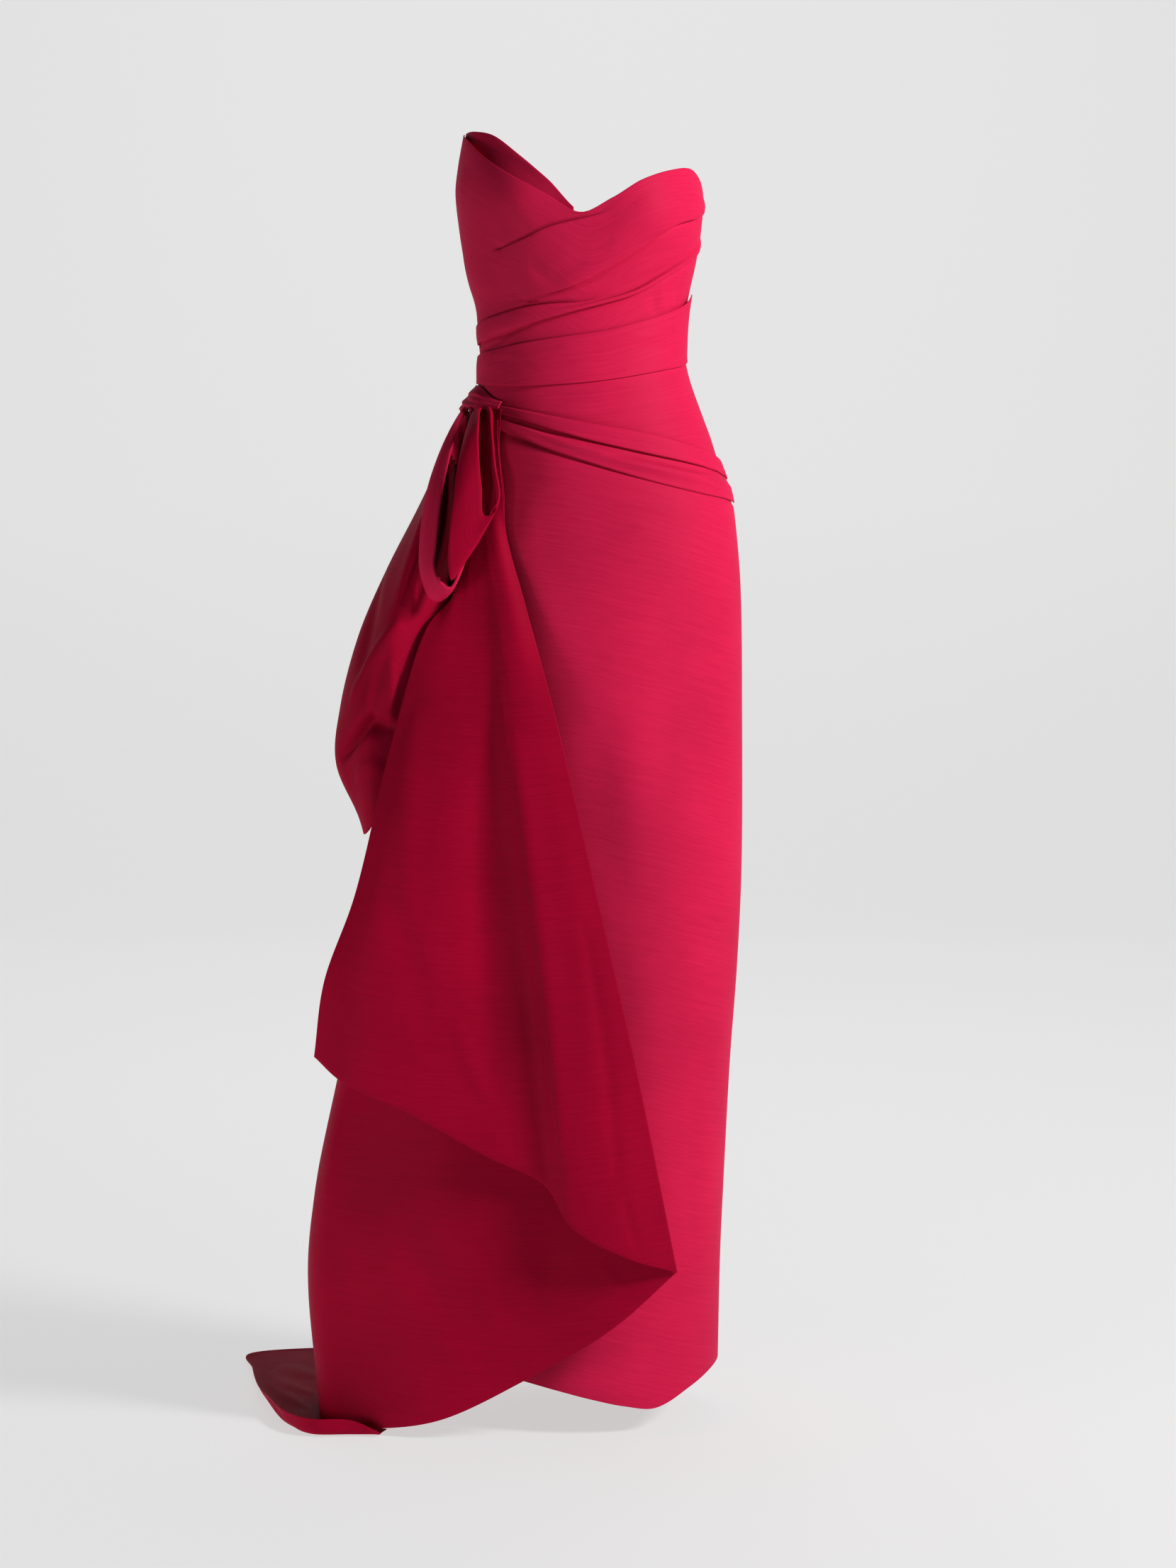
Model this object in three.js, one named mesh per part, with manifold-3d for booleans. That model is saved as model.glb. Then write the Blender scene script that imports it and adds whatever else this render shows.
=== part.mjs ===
// A strapless draped evening gown that keeps the hollow form it has when worn.
// Millimetres. Z points up, Y to the back and X to the wearer's left side.
// The origin is the middle of the waist, where the wearer holds the gown; the floor is 1215 below it.
import * as THREE from "three";
import { mergeVertices } from "three/addons/utils/BufferGeometryUtils.js";
import Module from "manifold-3d";

const wasm = await Module();
wasm.setup();

// Driving dimensions
const wall = 1.6;
const seamGap = 0.3;
const waistSeam = -5;
const floorZ = -1215;
const columnStep = 7.5;
const backGapAngle = { zip: 0.41, seam: 0.05 };
const bustCup = { angle: 38, height: 175, proud: 14, spreadAngle: 26, spreadHeight: 45 };
const zip = { top: 147, bottom: -179, width: 5, thick: 1.2, lift: -2.1 };
const slider = { z: 157, pinLift: 4.5, pinRadius: 0.6 };
const pull = {
  eyeRadius: 1.8,
  holeRadius: 0.9,
  holeReach: 1,
  eyeWidth: 3.2,
  shankTop: -1,
  shankBottom: -5,
  tabTop: -4,
  tabWidth: 6,
  length: 22,
  thick: 1.4,
};
const rodSides = { pin: 16, eye: 24 };

const crimson = { colour: 0xa81438, roughness: 0.62, metalness: 0 };
const crimsonMetal = { colour: 0x9c2440, roughness: 0.4, metalness: 0.6 };

// The general figure inside the gown, a row per height.
// Columns: height, centre across, half width, depth in front, depth behind
const figureRings = [
  [264, -4, 132, 95, 80],
  [225, -6, 137, 98, 82],
  [195, -4, 142, 100, 84],
  [155, -3, 139, 99, 84],
  [117, -3, 133, 95, 82],
  [90, -3, 127, 91, 80],
  [65, -2, 121, 88, 79],
  [45, -2, 119, 87, 79],
  [20, -1, 118, 87, 81],
  [5, 0, 118, 88, 84],
  [-20, 2, 122, 92, 92],
  [-59, 4, 134, 102, 106],
  [-83, 5, 142, 107, 113],
  [-105, 5, 149, 112, 120],
  [-142, 7, 160, 118, 126],
  [-173, 7, 166, 122, 128],
  [-256, 8, 172, 128, 126],
  [-391, 8, 174, 130, 124],
  [-574, 8, 174, 131, 126],
  [-692, 8, 169, 131, 129],
  [-803, 8, 161, 131, 132],
  [-941, 8, 154, 132, 136],
  [-1034, 8, 150, 134, 138],
  [-1190, 9, 146, 138, 142],
];

const radians = (degrees) => (degrees * Math.PI) / 180;
const mix = (a, b, t) => a + (b - a) * t;
const ease = (t) => t * t * (3 - 2 * t);

// Smooth values between the rows of a table whose first column falls: cubic pieces with shared slopes.
function readTable(rows, at) {
  const last = rows.length - 1;
  if (at >= rows[0][0]) return rows[0].slice(1);
  if (at <= rows[last][0]) return rows[last].slice(1);
  let k = 0;
  while (rows[k + 1][0] > at) k += 1;
  const span = rows[k + 1][0] - rows[k][0];
  const t = (at - rows[k][0]) / span;
  const slope = (i, c) => {
    const before = rows[Math.max(i - 1, 0)];
    const after = rows[Math.min(i + 1, last)];
    return (after[c] - before[c]) / (after[0] - before[0]);
  };
  return rows[k].slice(1).map((value, c) => {
    const next = rows[k + 1][c + 1];
    const bend = span * t * (1 - t);
    return mix(value, next, ease(t)) + bend * ((1 - t) * slope(k, c + 1) - t * slope(k + 1, c + 1));
  });
}

// How far a bust cup stands out of the figure's ring.
function cupProud(theta, z) {
  const side = (centre) => Math.exp(-(((theta - centre) / bustCup.spreadAngle) ** 2));
  const tall = Math.exp(-(((z - bustCup.height) / bustCup.spreadHeight) ** 2));
  return bustCup.proud * tall * (side(bustCup.angle) + side(-bustCup.angle));
}

// A point over the figure: theta runs from 0 at the front to 90 at the wearer's left and 180 behind.
function onFigure(theta, z, lift = 0) {
  const [centre, half, front, back] = readTable(figureRings, z);
  const across = Math.sin(radians(theta));
  const along = -Math.cos(radians(theta));
  const depth = (along < 0 ? front : back) + (along < 0 ? cupProud(theta, z) : 0);
  const normal = new THREE.Vector2(across * depth, along * half).normalize();
  return new THREE.Vector3(centre + half * across + lift * normal.x, depth * along + lift * normal.y, z);
}

// A closed body between two grids of points, outer[row][column] and inner[row][column].
function closedWall(name, outer, inner, look = crimson, ring = false) {
  const rows = outer.length;
  const columns = outer[0].length;
  const points = [...outer.flat(), ...inner.flat()];
  const at = (layer, row, column) => layer * rows * columns + row * columns + (column % columns);
  const faces = [];
  const quad = (a, b, c, d) => faces.push(a, b, c, a, c, d);
  const spans = ring ? columns : columns - 1;
  for (let row = 0; row < rows - 1; row += 1) {
    for (let column = 0; column < spans; column += 1) {
      quad(at(0, row, column), at(0, row + 1, column), at(0, row + 1, column + 1), at(0, row, column + 1));
      quad(at(1, row, column), at(1, row, column + 1), at(1, row + 1, column + 1), at(1, row + 1, column));
    }
  }
  for (let column = 0; column < spans; column += 1) {
    const end = rows - 1;
    quad(at(0, 0, column), at(0, 0, column + 1), at(1, 0, column + 1), at(1, 0, column));
    quad(at(0, end, column + 1), at(0, end, column), at(1, end, column), at(1, end, column + 1));
  }
  for (let row = 0; row < rows - 1 && !ring; row += 1) {
    const end = columns - 1;
    quad(at(0, row + 1, 0), at(0, row, 0), at(1, row, 0), at(1, row + 1, 0));
    quad(at(0, row, end), at(0, row + 1, end), at(1, row + 1, end), at(1, row, end));
  }
  return bodyMesh(name, points, faces, look);
}

// A mesh from points and faces, turned so that its faces look outwards.
function bodyMesh(name, points, faces, look) {
  let volume = 0;
  for (let k = 0; k < faces.length; k += 3) {
    const [a, b, c] = [points[faces[k]], points[faces[k + 1]], points[faces[k + 2]]];
    volume += a.dot(b.clone().cross(c));
  }
  if (volume < 0) faces.reverse();
  const geometry = new THREE.BufferGeometry();
  geometry.setAttribute("position", new THREE.Float32BufferAttribute(points.flatMap((p) => p.toArray()), 3));
  geometry.setIndex(faces);
  geometry.computeVertexNormals();
  return paintedMesh(name, geometry, look);
}

function paintedMesh(name, geometry, look) {
  const { colour, roughness, metalness } = look;
  const mesh = new THREE.Mesh(
    geometry,
    new THREE.MeshStandardMaterial({ color: colour, roughness, metalness }),
  );
  mesh.name = name;
  return mesh;
}

// Panels that follow the figure

// Fold lines are given at these angles round the figure, from the wearer's right to the left.
const frontStations = [-90, -70, -50, -30, -15, 0, 15, 30, 50, 70, 90];
const rightBackStations = [-180, -155, -130, -110, -90];
const leftBackStations = [90, 110, 130, 155, 180];

function atStation(stations, values, theta) {
  if (!Array.isArray(values)) return values;
  const table = stations.map((angle, k) => [-angle, values[k]]);
  return readTable(table, -theta)[0];
}

// The profile of one column: a list of [height, lift], from the top row of the panel to its lowest.
// A row with a step is a pleat: its edge stands proud by the step, over the cloth below it (faces
// "down") or above it (faces "up"), with the cloth under the edge 1 mm beyond it.
function columnProfile(stations, rows, theta) {
  const underShift = 1;
  const knots = [];
  rows.forEach((row) => {
    const z = atStation(stations, row.z, theta);
    const lift = atStation(stations, row.lift ?? 0, theta);
    const step = Math.max(atStation(stations, row.step ?? 0, theta), 0);
    const knot = { z, lift: lift + step, cuts: row.cuts ?? 1, puff: row.puff ?? 0 };
    const under = { z: z + (row.faces === "up" ? underShift : -underShift), lift, cuts: 1, puff: 0 };
    if (row.faces === "up") {
      knots.push({ ...under, cuts: knot.cuts, puff: knot.puff }, { ...knot, cuts: 1, puff: 0 });
    } else if (row.faces === "down") {
      knots.push(knot, under);
    } else {
      knots.push(knot);
    }
  });
  const profile = [[knots[0].z, knots[0].lift]];
  for (let k = 1; k < knots.length; k += 1) {
    const [from, to] = [knots[k - 1], knots[k]];
    for (let cut = 1; cut <= to.cuts; cut += 1) {
      const t = cut / to.cuts;
      const puff = to.puff * 4 * t * (1 - t);
      profile.push([mix(from.z, to.z, t), mix(from.lift, to.lift, ease(t)) + puff]);
    }
  }
  return profile;
}

// The same profile moved inwards by the wall, with mitred corners.
function innerProfile(profile, thickness) {
  const normals = profile.slice(1).map(([z, lift], k) => {
    const [dz, dl] = [z - profile[k][0], lift - profile[k][1]];
    const long = Math.hypot(dz, dl);
    return [-dl / long, dz / long];
  });
  const sharpest = 0.45;
  return profile.map(([z, lift], k) => {
    const a = normals[Math.max(k - 1, 0)];
    const b = normals[Math.min(k, normals.length - 1)];
    const scale = thickness / Math.max(1 + a[0] * b[0] + a[1] * b[1], sharpest);
    return [z + (a[0] + b[0]) * scale, lift + (a[1] + b[1]) * scale];
  });
}

function figurePanel(name, { stations, from, to, rows, thickness = wall }) {
  const count = Math.max(1, Math.round(Math.abs(to - from) / columnStep));
  const outerColumns = [];
  const innerColumns = [];
  for (let k = 0; k <= count; k += 1) {
    const theta = mix(from, to, k / count);
    const profile = columnProfile(stations, rows, theta);
    outerColumns.push(profile.map(([z, lift]) => onFigure(theta, z, lift)));
    innerColumns.push(innerProfile(profile, thickness).map(([z, lift]) => onFigure(theta, z, lift)));
  }
  const turn = (columns) => columns[0].map((_, row) => columns.map((column) => column[row]));
  return closedWall(name, turn(outerColumns), turn(innerColumns));
}

// Fold and edge lines on the front, as heights at the front stations
const lines = {
  neckline: [262, 252, 230, 204, 184, 164, 180, 201, 215, 219, 205],
  cupTop: [263, 262, 254, 229, 202, 165, 165, 165, 165, 165, 165],
  surplice: [130, 125, 123, 134, 148, 157, 167, 184, 198, 204, 194],
  pleatOne: [76, 74, 72, 71, 76, 86, 104, 125, 152, 164, 175],
  pleatStrip: [42, 48, 54, 61, 64, 66, 74, 86, 110, 132, 150],
  pleatTwo: [22, 26, 32, 42, 49, 57, 65, 75, 96, 116, 133],
  bandTop: [8, 12, 16, 21, 25, 29, 34, 42, 53, 65, 80],
  bandBottom: [-21, -23, -26, -27, -26, -24, -20, -15, -8, -2, 5],
  foldAEdge: [-50, -49, -49, -56, -63, -70, -76, -82, -92, -102, -112],
  foldAValley: [-62, -58, -57, -67, -78, -89, -98, -106, -115, -123, -131],
  foldBRidge: [-74, -68, -64, -76, -88, -99, -110, -119, -129, -136, -142],
  foldBValley: [-88, -80, -75, -88, -101, -114, -127, -138, -148, -154, -158],
  skirtHem: [-1152, -1150, -1150, -1155, -1162, -1171, -1180, -1185, -1168, -1155, -1150],
};
const lower = (line, by) => line.map((z) => z - by);
const sideSeam = 90 - 0.08;

// How far each pleat's edge stands proud, at the front stations
const pleatSteps = {
  surplice: [0, 0, 0.8, 2.6, 2.8, 1.5, 0, 0, 0, 0, 0],
  pleatOne: [0, 0, 0, 0.5, 1.6, 2.8, 3, 3, 3, 3, 2.5],
  pleatStrip: [2, 2.6, 2.8, 2.8, 2.2, 1.2, 0, 0, 0, 0, 0],
  pleatTwo: [2, 2.6, 2.8, 2.8, 2.8, 3, 3, 3, 3, 3, 2.5],
};

const bodiceFront = figurePanel("bodice_front", {
  stations: frontStations,
  from: -sideSeam,
  to: sideSeam,
  rows: [
    { z: lines.neckline, lift: [0, 1, 3, 4, 2.5, 1, 0.5, 0.5, 0.5, 0, 0] },
    { z: lines.surplice, faces: "up", step: pleatSteps.surplice, cuts: 4 },
    { z: lines.pleatOne, faces: "down", step: pleatSteps.pleatOne, cuts: 4, puff: 0.6 },
    { z: lines.pleatStrip, faces: "up", step: pleatSteps.pleatStrip, cuts: 2 },
    { z: lines.pleatTwo, faces: "down", step: pleatSteps.pleatTwo, cuts: 2, puff: 0.4 },
    { z: lower(lines.bandTop, 8), cuts: 2 },
  ],
});

const bodiceInnerCup = figurePanel("bodice_inner_cup", {
  stations: frontStations,
  from: -sideSeam + 1.5,
  to: -3,
  rows: [
    { z: lines.cupTop, lift: [-2.2, -6, -11, -12, -8, -2.8, 0, 0, 0, 0, 0] },
    { z: [215, 200, 180, 162, 152, 148, 148, 148, 148, 148, 148], lift: -2.8, cuts: 3 },
  ],
});

const waistband = figurePanel("waistband", {
  stations: frontStations,
  from: -sideSeam,
  to: sideSeam,
  rows: [
    { z: lines.bandTop, lift: [2.3, 2.3, 2.3, 2.3, 2.3, 2.3, 2.4, 2.6, 3, 3.6, 4] },
    { z: lines.bandBottom, lift: 2.4, cuts: 4, puff: 1.2 },
  ],
});

const hipYoke = figurePanel("hip_yoke", {
  stations: frontStations,
  from: -sideSeam,
  to: sideSeam,
  rows: [
    { z: lower(lines.bandBottom, -8), lift: 0 },
    { z: lower(lines.foldAEdge, 8), lift: 0, cuts: 5 },
  ],
});

const skirtFront = figurePanel("skirt_front", {
  stations: frontStations,
  from: -sideSeam,
  to: sideSeam,
  rows: [
    { z: lines.foldAEdge, lift: [2.2, 2.2, 2.4, 4, 5, 5.5, 6, 6, 6, 5.5, 5] },
    { z: lines.foldAValley, lift: [2.2, 2.2, 2.2, 2.2, 2.2, 2.2, 2.2, 2.4, 2.6, 2.8, 3], cuts: 2 },
    { z: lines.foldBRidge, lift: [2.2, 2.2, 2.4, 5, 7, 8, 8, 8, 7.5, 7, 6], cuts: 2 },
    { z: lines.foldBValley, lift: 2.2, cuts: 3 },
    { z: -256, lift: 2.2, cuts: 3 },
    { z: -391, lift: 2.2, cuts: 1 },
    { z: -574, lift: 2.2, cuts: 2 },
    { z: -803, lift: 2.2, cuts: 2 },
    { z: lines.skirtHem, lift: 2.2, cuts: 4 },
  ],
});

const bodiceBackRows = (neck) => [{ z: neck }, { z: 60, cuts: 5 }, { z: waistSeam, cuts: 4 }];
const skirtBackRows = (hem) => [
  { z: waistSeam - seamGap },
  { z: -142, cuts: 5 },
  { z: -256, cuts: 3 },
  { z: -391, cuts: 1 },
  { z: -574, cuts: 1 },
  { z: -803, cuts: 2 },
  { z: hem, cuts: 3 },
];
const rightBack = (gap) => ({ stations: rightBackStations, from: -180 + gap, to: -180 + sideSeam });
const leftBack = (gap) => ({ stations: leftBackStations, from: 180 - sideSeam, to: 180 - gap });
const backNecks = { right: [170, 180, 203, 232, 262], left: [205, 190, 180, 173, 170] };

const backHems = { right: [-1187, -1186, -1180, -1168, -1153], left: [-1152, -1162, -1176, -1184, -1187] };
const bodiceBackRight = figurePanel("bodice_back_right", {
  ...rightBack(backGapAngle.zip),
  rows: bodiceBackRows(backNecks.right),
});
const bodiceBackLeft = figurePanel("bodice_back_left", {
  ...leftBack(backGapAngle.zip),
  rows: bodiceBackRows(backNecks.left),
});
const skirtBackRight = figurePanel("skirt_back_right", {
  ...rightBack(backGapAngle.seam),
  rows: skirtBackRows(backHems.right),
});
const skirtBackLeft = figurePanel("skirt_back_left", {
  ...leftBack(backGapAngle.seam),
  rows: skirtBackRows(backHems.left),
});

const hipGather = figurePanel("hip_gather", {
  stations: frontStations,
  from: -89.5,
  to: -47,
  rows: [
    { z: [-25, -28, -33, -38, -38, -38, -38, -38, -38, -38, -38], lift: 2.3 },
    { z: -40, lift: [7, 8, 5, 4, 4, 4, 4, 4, 4, 4, 4], cuts: 2, puff: 1 },
    { z: -48.5, lift: [9, 9.5, 7, 5, 5, 5, 5, 5, 5, 5, 5], cuts: 1 },
  ],
});

// Hanging pieces, lofted through guide lines that run down them

const asVector = (p) => (p.isVector3 ? p : new THREE.Vector3(...p));
const guide = (points) => new THREE.CatmullRomCurve3(points.map(asVector), false, "centripetal");

// The point at u across the guides and v down them.
function loftPoint(guides, u, v) {
  const section = guide(guides.map((line) => line.getPointAt(v)));
  return section.getPoint(u);
}

function loftNormal(guides, u, v, side) {
  const reach = 0.004;
  const near = (value) => Math.min(Math.max(value, 0), 1);
  const across = loftPoint(guides, near(u + reach), v).sub(loftPoint(guides, near(u - reach), v));
  const down = loftPoint(guides, u, near(v + reach)).sub(loftPoint(guides, u, near(v - reach)));
  return across.cross(down).normalize().multiplyScalar(side);
}

const onLoft = (guides, u, v, lift, side) =>
  loftPoint(guides, u, v).addScaledVector(loftNormal(guides, u, v, side), lift);

function loftPanel(name, guides, { columns, rows, side = 1, thickness = wall }) {
  const outer = [];
  const inner = [];
  for (let row = 0; row <= rows; row += 1) {
    const [outerRow, innerRow] = [[], []];
    for (let column = 0; column <= columns; column += 1) {
      const [u, v] = [column / columns, row / rows];
      outerRow.push(loftPoint(guides, u, v));
      innerRow.push(onLoft(guides, u, v, -thickness, side));
    }
    outer.push(outerRow);
    inner.push(innerRow);
  }
  return closedWall(name, outer, inner);
}

// The cascade: a panel folded back from the fold edge at its right, down to a slanted hem.
// Each guide starts on the hip at its angle, and the points below are across, depth, height.
const cascadeTop = { z: -66, lift: 7.2 };
const hipPoints = (angles, lifts) => [-100, -148].map((z, k) => onFigure(angles[k], z, lifts[k]));
const cascadeGuides = [
  {
    top: -45,
    hip: [-40, -34.3],
    points: [
      [-86, -114, -194], [-65, -133, -271], [-31, -157, -397],
      [15, -179, -593], [61, -190, -796], [105, -193, -1015],
    ],
  },
  {
    top: -47.6,
    hip: [-43, -38],
    points: [
      [-95, -118, -200], [-79, -140, -281], [-51, -161, -413],
      [-13, -184, -604], [22, -198, -804], [50, -206, -997],
    ],
  },
  {
    top: -50,
    hip: [-46, -41.5],
    points: [
      [-105, -116, -207], [-93, -138, -289], [-72, -160, -422],
      [-45, -181, -609], [-23, -196, -797], [-12, -202, -964],
    ],
  },
  {
    top: -52.5,
    hip: [-49, -44.5],
    points: [
      [-113, -112, -210], [-104, -132, -294], [-90, -150, -429],
      [-74, -168, -602], [-58, -179, -767], [-43, -184, -919],
    ],
  },
  {
    top: -55,
    hip: [-52, -47.5],
    points: [
      [-121, -108, -213], [-120, -127, -298], [-116, -146, -433],
      [-112, -160, -586], [-110, -171, -737], [-107, -177, -888],
    ],
  },
  {
    top: -57.5,
    hip: [-55.5, -51],
    points: [
      [-129, -104, -218], [-138, -123, -303], [-151, -141, -438],
      [-172, -154, -579], [-187, -163, -714], [-199, -169, -838],
    ],
  },
  {
    top: -60,
    hip: [-59, -54],
    points: [
      [-137, -100, -232], [-158, -118, -303], [-191, -130, -438],
      [-228, -139, -589], [-252, -145, -707], [-269, -148, -809],
    ],
  },
  {
    top: -63,
    hip: [-63, -57],
    points: [
      [-143, -96, -257], [-175, -110, -300], [-215, -116, -430],
      [-257, -119, -602], [-292, -118, -700], [-304, -112, -785],
    ],
  },
].map(({ top, hip, points }) =>
  guide([onFigure(top, cascadeTop.z, cascadeTop.lift), ...hipPoints(hip, [10, 14]), ...points]),
);
const cascadePanel = loftPanel("cascade_panel", cascadeGuides, { columns: 18, rows: 16, side: 1 });

// The wrap: hangs from the hip behind the cascade, round the wearer's right side, down to the floor.
const wrapTop = { z: -54, frontLift: 4.6, backLift: 3 };
const wrapGuides = [
  {
    top: -45,
    hip: [-40.7, -35],
    points: [
      [-87, -112, -194], [-66, -130, -271], [-32, -154, -397],
      [14, -176, -594], [60, -187, -797], [104, -190, -1016],
    ],
  },
  {
    top: -51,
    hip: [-46, -41],
    points: [
      [-98, -106, -200], [-86, -121, -300], [-58, -143, -430],
      [-20, -164, -618], [12, -177, -825], [33, -183, -1081],
    ],
  },
  {
    top: -58,
    hip: [-54, -50],
    points: [
      [-118, -94, -200], [-114, -108, -300], [-105, -125, -430],
      [-90, -145, -619], [-78, -159, -828], [-64, -168, -1142],
    ],
  },
  {
    top: -66,
    hip: [-64, -62],
    points: [
      [-138, -78, -200], [-142, -90, -300], [-148, -106, -430], [-155, -123, -620],
      [-160, -138, -830], [-163, -147, -1061], [-162, -152, -1192],
    ],
  },
  {
    top: -76,
    hip: [-76, -75],
    points: [
      [-156, -56, -200], [-168, -66, -300], [-184, -78, -430], [-208, -92, -620],
      [-228, -104, -830], [-240, -118, -1060], [-240, -124, -1208],
    ],
  },
  {
    top: -86,
    hip: [-86, -86],
    points: [
      [-168, -26, -200], [-182, -34, -300], [-200, -44, -430], [-232, -54, -620],
      [-270, -64, -800], [-300, -78, -1010], [-292, -88, -1211],
    ],
  },
  {
    top: -97,
    hip: [-96, -94],
    points: [
      [-172, 0, -200], [-186, -4, -300], [-202, -4, -430], [-234, -6, -620],
      [-282, -10, -812], [-321, -16, -1030], [-307, -16, -1211],
    ],
  },
  {
    top: -112,
    hip: [-113, -113],
    points: [
      [-168, 50, -200], [-180, 56, -300], [-194, 64, -430], [-222, 72, -620],
      [-262, 84, -812], [-298, 94, -1030], [-290, 100, -1211],
    ],
  },
  {
    top: -130,
    hip: [-128, -124],
    points: [
      [-142, 98, -200], [-148, 112, -300], [-154, 126, -430], [-166, 144, -620],
      [-182, 160, -812], [-200, 176, -1030], [-196, 186, -1211],
    ],
  },
].map(({ top, hip, points }) => {
  const lift = top > -90 ? wrapTop.frontLift : wrapTop.backLift;
  return guide([onFigure(top, wrapTop.z, lift), ...hipPoints(hip, [6, 7.5]), ...points]);
});
const wrapPanel = loftPanel("wrap_panel", wrapGuides, { columns: 20, rows: 18, side: 1 });

// The side drape: a pouf of cloth caught under the cascade and behind the hip, on the wrap.
const drapeSeat = wall + 0.5;
const drapeHeights = [0.02, 0.12, 0.2, 0.27, 0.34, 0.4, 0.43];
const drapeOnWrap = (u) => drapeHeights.map((v) => onLoft(wrapGuides, u, v, drapeSeat, 1));
const drapeMiddle = [
  {
    top: [-70, -72, 8],
    points: [
      [-145, -92, -184], [-158, -98, -264], [-177, -100, -312],
      [-187, -102, -359], [-200, -100, -400], [-224, -86, -498],
    ],
  },
  {
    top: [-75, -66, 9],
    points: [
      [-163, -98, -136], [-183, -110, -208], [-204, -114, -280],
      [-229, -110, -359], [-244, -96, -424], [-242, -72, -528],
    ],
  },
  {
    top: [-80, -66, 10],
    points: [
      [-176, -70, -152], [-205, -80, -224], [-234, -86, -304],
      [-259, -84, -376], [-266, -70, -441], [-251, -48, -537],
    ],
  },
  {
    top: [-87, -70, 10],
    points: [
      [-187, -20, -160], [-225, -30, -236], [-257, -36, -311],
      [-278, -40, -392], [-283, -36, -458], [-252, -20, -528],
    ],
  },
  {
    top: [-100, -72, 9],
    points: [
      [-184, 40, -160], [-218, 46, -236], [-244, 52, -311],
      [-262, 52, -392], [-262, 50, -458], [-236, 50, -520],
    ],
  },
].map(({ top, points }) => guide([onFigure(...top), ...points]));
const drapeGuides = [guide(drapeOnWrap(0.42)), ...drapeMiddle, guide(drapeOnWrap(0.88))];
const sideDrape = loftPanel("side_drape", drapeGuides, { columns: 16, rows: 14, side: 1 });

// The train: the cloth that lies on the floor from the wrap's foot, with an upturned near rim.
const trainTop = floorZ + wall + 0.4;
const trainGuides = [
  [[-224, -112, 0], [-228, -124, 0], [-231, -135, 0], [-232, -140, 4]],
  [[-262, -96, 0], [-262, -116, 0], [-262, -135, 1], [-263, -140, 17]],
  [[-282, -80, 0], [-294, -108, 0], [-305, -134, 1], [-307, -138, 18]],
  [[-290, -50, 0], [-314, -76, 0], [-334, -98, 1], [-338, -101, 17]],
  [[-292, 0, 0], [-330, -6, 0], [-362, -12, 1], [-369, -13, 15]],
  [[-284, 60, 0], [-340, 62, 1], [-382, 70, 1], [-388, 72, 8]],
  [[-270, 110, 0], [-345, 140, 1], [-398, 172, 1], [-404, 175, 4]],
  [[-250, 140, 0], [-340, 205, 1], [-408, 258, 1], [-414, 263, 2]],
  [[-210, 165, 0], [-250, 235, 1], [-290, 296, 0], [-294, 302, 1]],
  [[-170, 170, 0], [-180, 235, 0], [-186, 296, 0], [-187, 303, 1]],
].map((points) => guide(points.map(([x, y, up]) => [x, y, trainTop + up])));
const train = loftPanel("train", trainGuides, { columns: 20, rows: 7, side: -1 });

// The two hanging loops of the bow: bands between a front and a rear curve.
const loopSizes = { thick: 1.4, around: 22, across: 3 };
function loopBand(name, front, rear) {
  const rims = [front, rear].map((points) => {
    return new THREE.CatmullRomCurve3(points.map(asVector), true, "centripetal");
  });
  const { around, across, thick } = loopSizes;
  const place = (i, s) => {
    const along = ((i + around) % around) / around;
    return rims[0].getPointAt(along).lerp(rims[1].getPointAt(along), s);
  };
  const outer = [];
  const inner = [];
  for (let k = 0; k <= across; k += 1) {
    outer.push([]);
    inner.push([]);
    for (let i = 0; i < around; i += 1) {
      const point = place(i, k / across);
      const sideways = place(i, 1).sub(place(i, 0));
      const onwards = place(i + 0.5, 0.5).sub(place(i - 0.5, 0.5));
      const normal = sideways.cross(onwards).normalize();
      outer[k].push(point);
      inner[k].push(point.clone().addScaledVector(normal, -thick));
    }
  }
  return closedWall(name, outer, inner, crimson, true);
}

// The small loop is a tube of cloth seen from its open end; its rear end runs down inside the large one.
const loopSmall = loopBand(
  "loop_small",
  [
    onFigure(-51, -51.5, 10),
    [-100, -112, -84], [-96, -136, -122], [-92, -146, -157], [-98, -150, -172],
    [-110, -150, -176], [-113, -146, -146], [-117, -136, -106], [-119, -112, -74],
    onFigure(-58, -50.5, 10.5),
  ],
  [
    onFigure(-53, -52, 6.5),
    [-104, -100, -84], [-104, -118, -121], [-106, -134, -162], [-123, -148, -208],
    [-145, -156, -247], [-149, -155, -227], [-144, -146, -160], [-137, -122, -105],
    onFigure(-64, -51, 7.5),
  ],
);
const loopLarge = loopBand(
  "loop_large",
  [
    onFigure(-67.4, -50.1, 11.2),
    [-120, -97, -100], [-122, -114, -150], [-127, -128, -204], [-134, -137, -236],
    [-146, -141, -257], [-158, -142, -252], [-168, -139, -234], [-166, -134, -205],
    [-160, -122, -150], [-152, -102, -108], [-144, -80, -76],
    onFigure(-75, -49.2, 11),
  ],
  [
    onFigure(-69, -50.1, 8.2),
    [-132, -86, -100], [-138, -101, -150], [-141, -113, -204], [-148, -121, -240],
    [-157, -125, -270], [-170, -125, -268], [-182, -122, -240], [-183, -118, -205],
    [-176, -106, -150], [-163, -86, -106], [-150, -68, -76],
    onFigure(-78, -49.1, 8.4),
  ],
);

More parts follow.
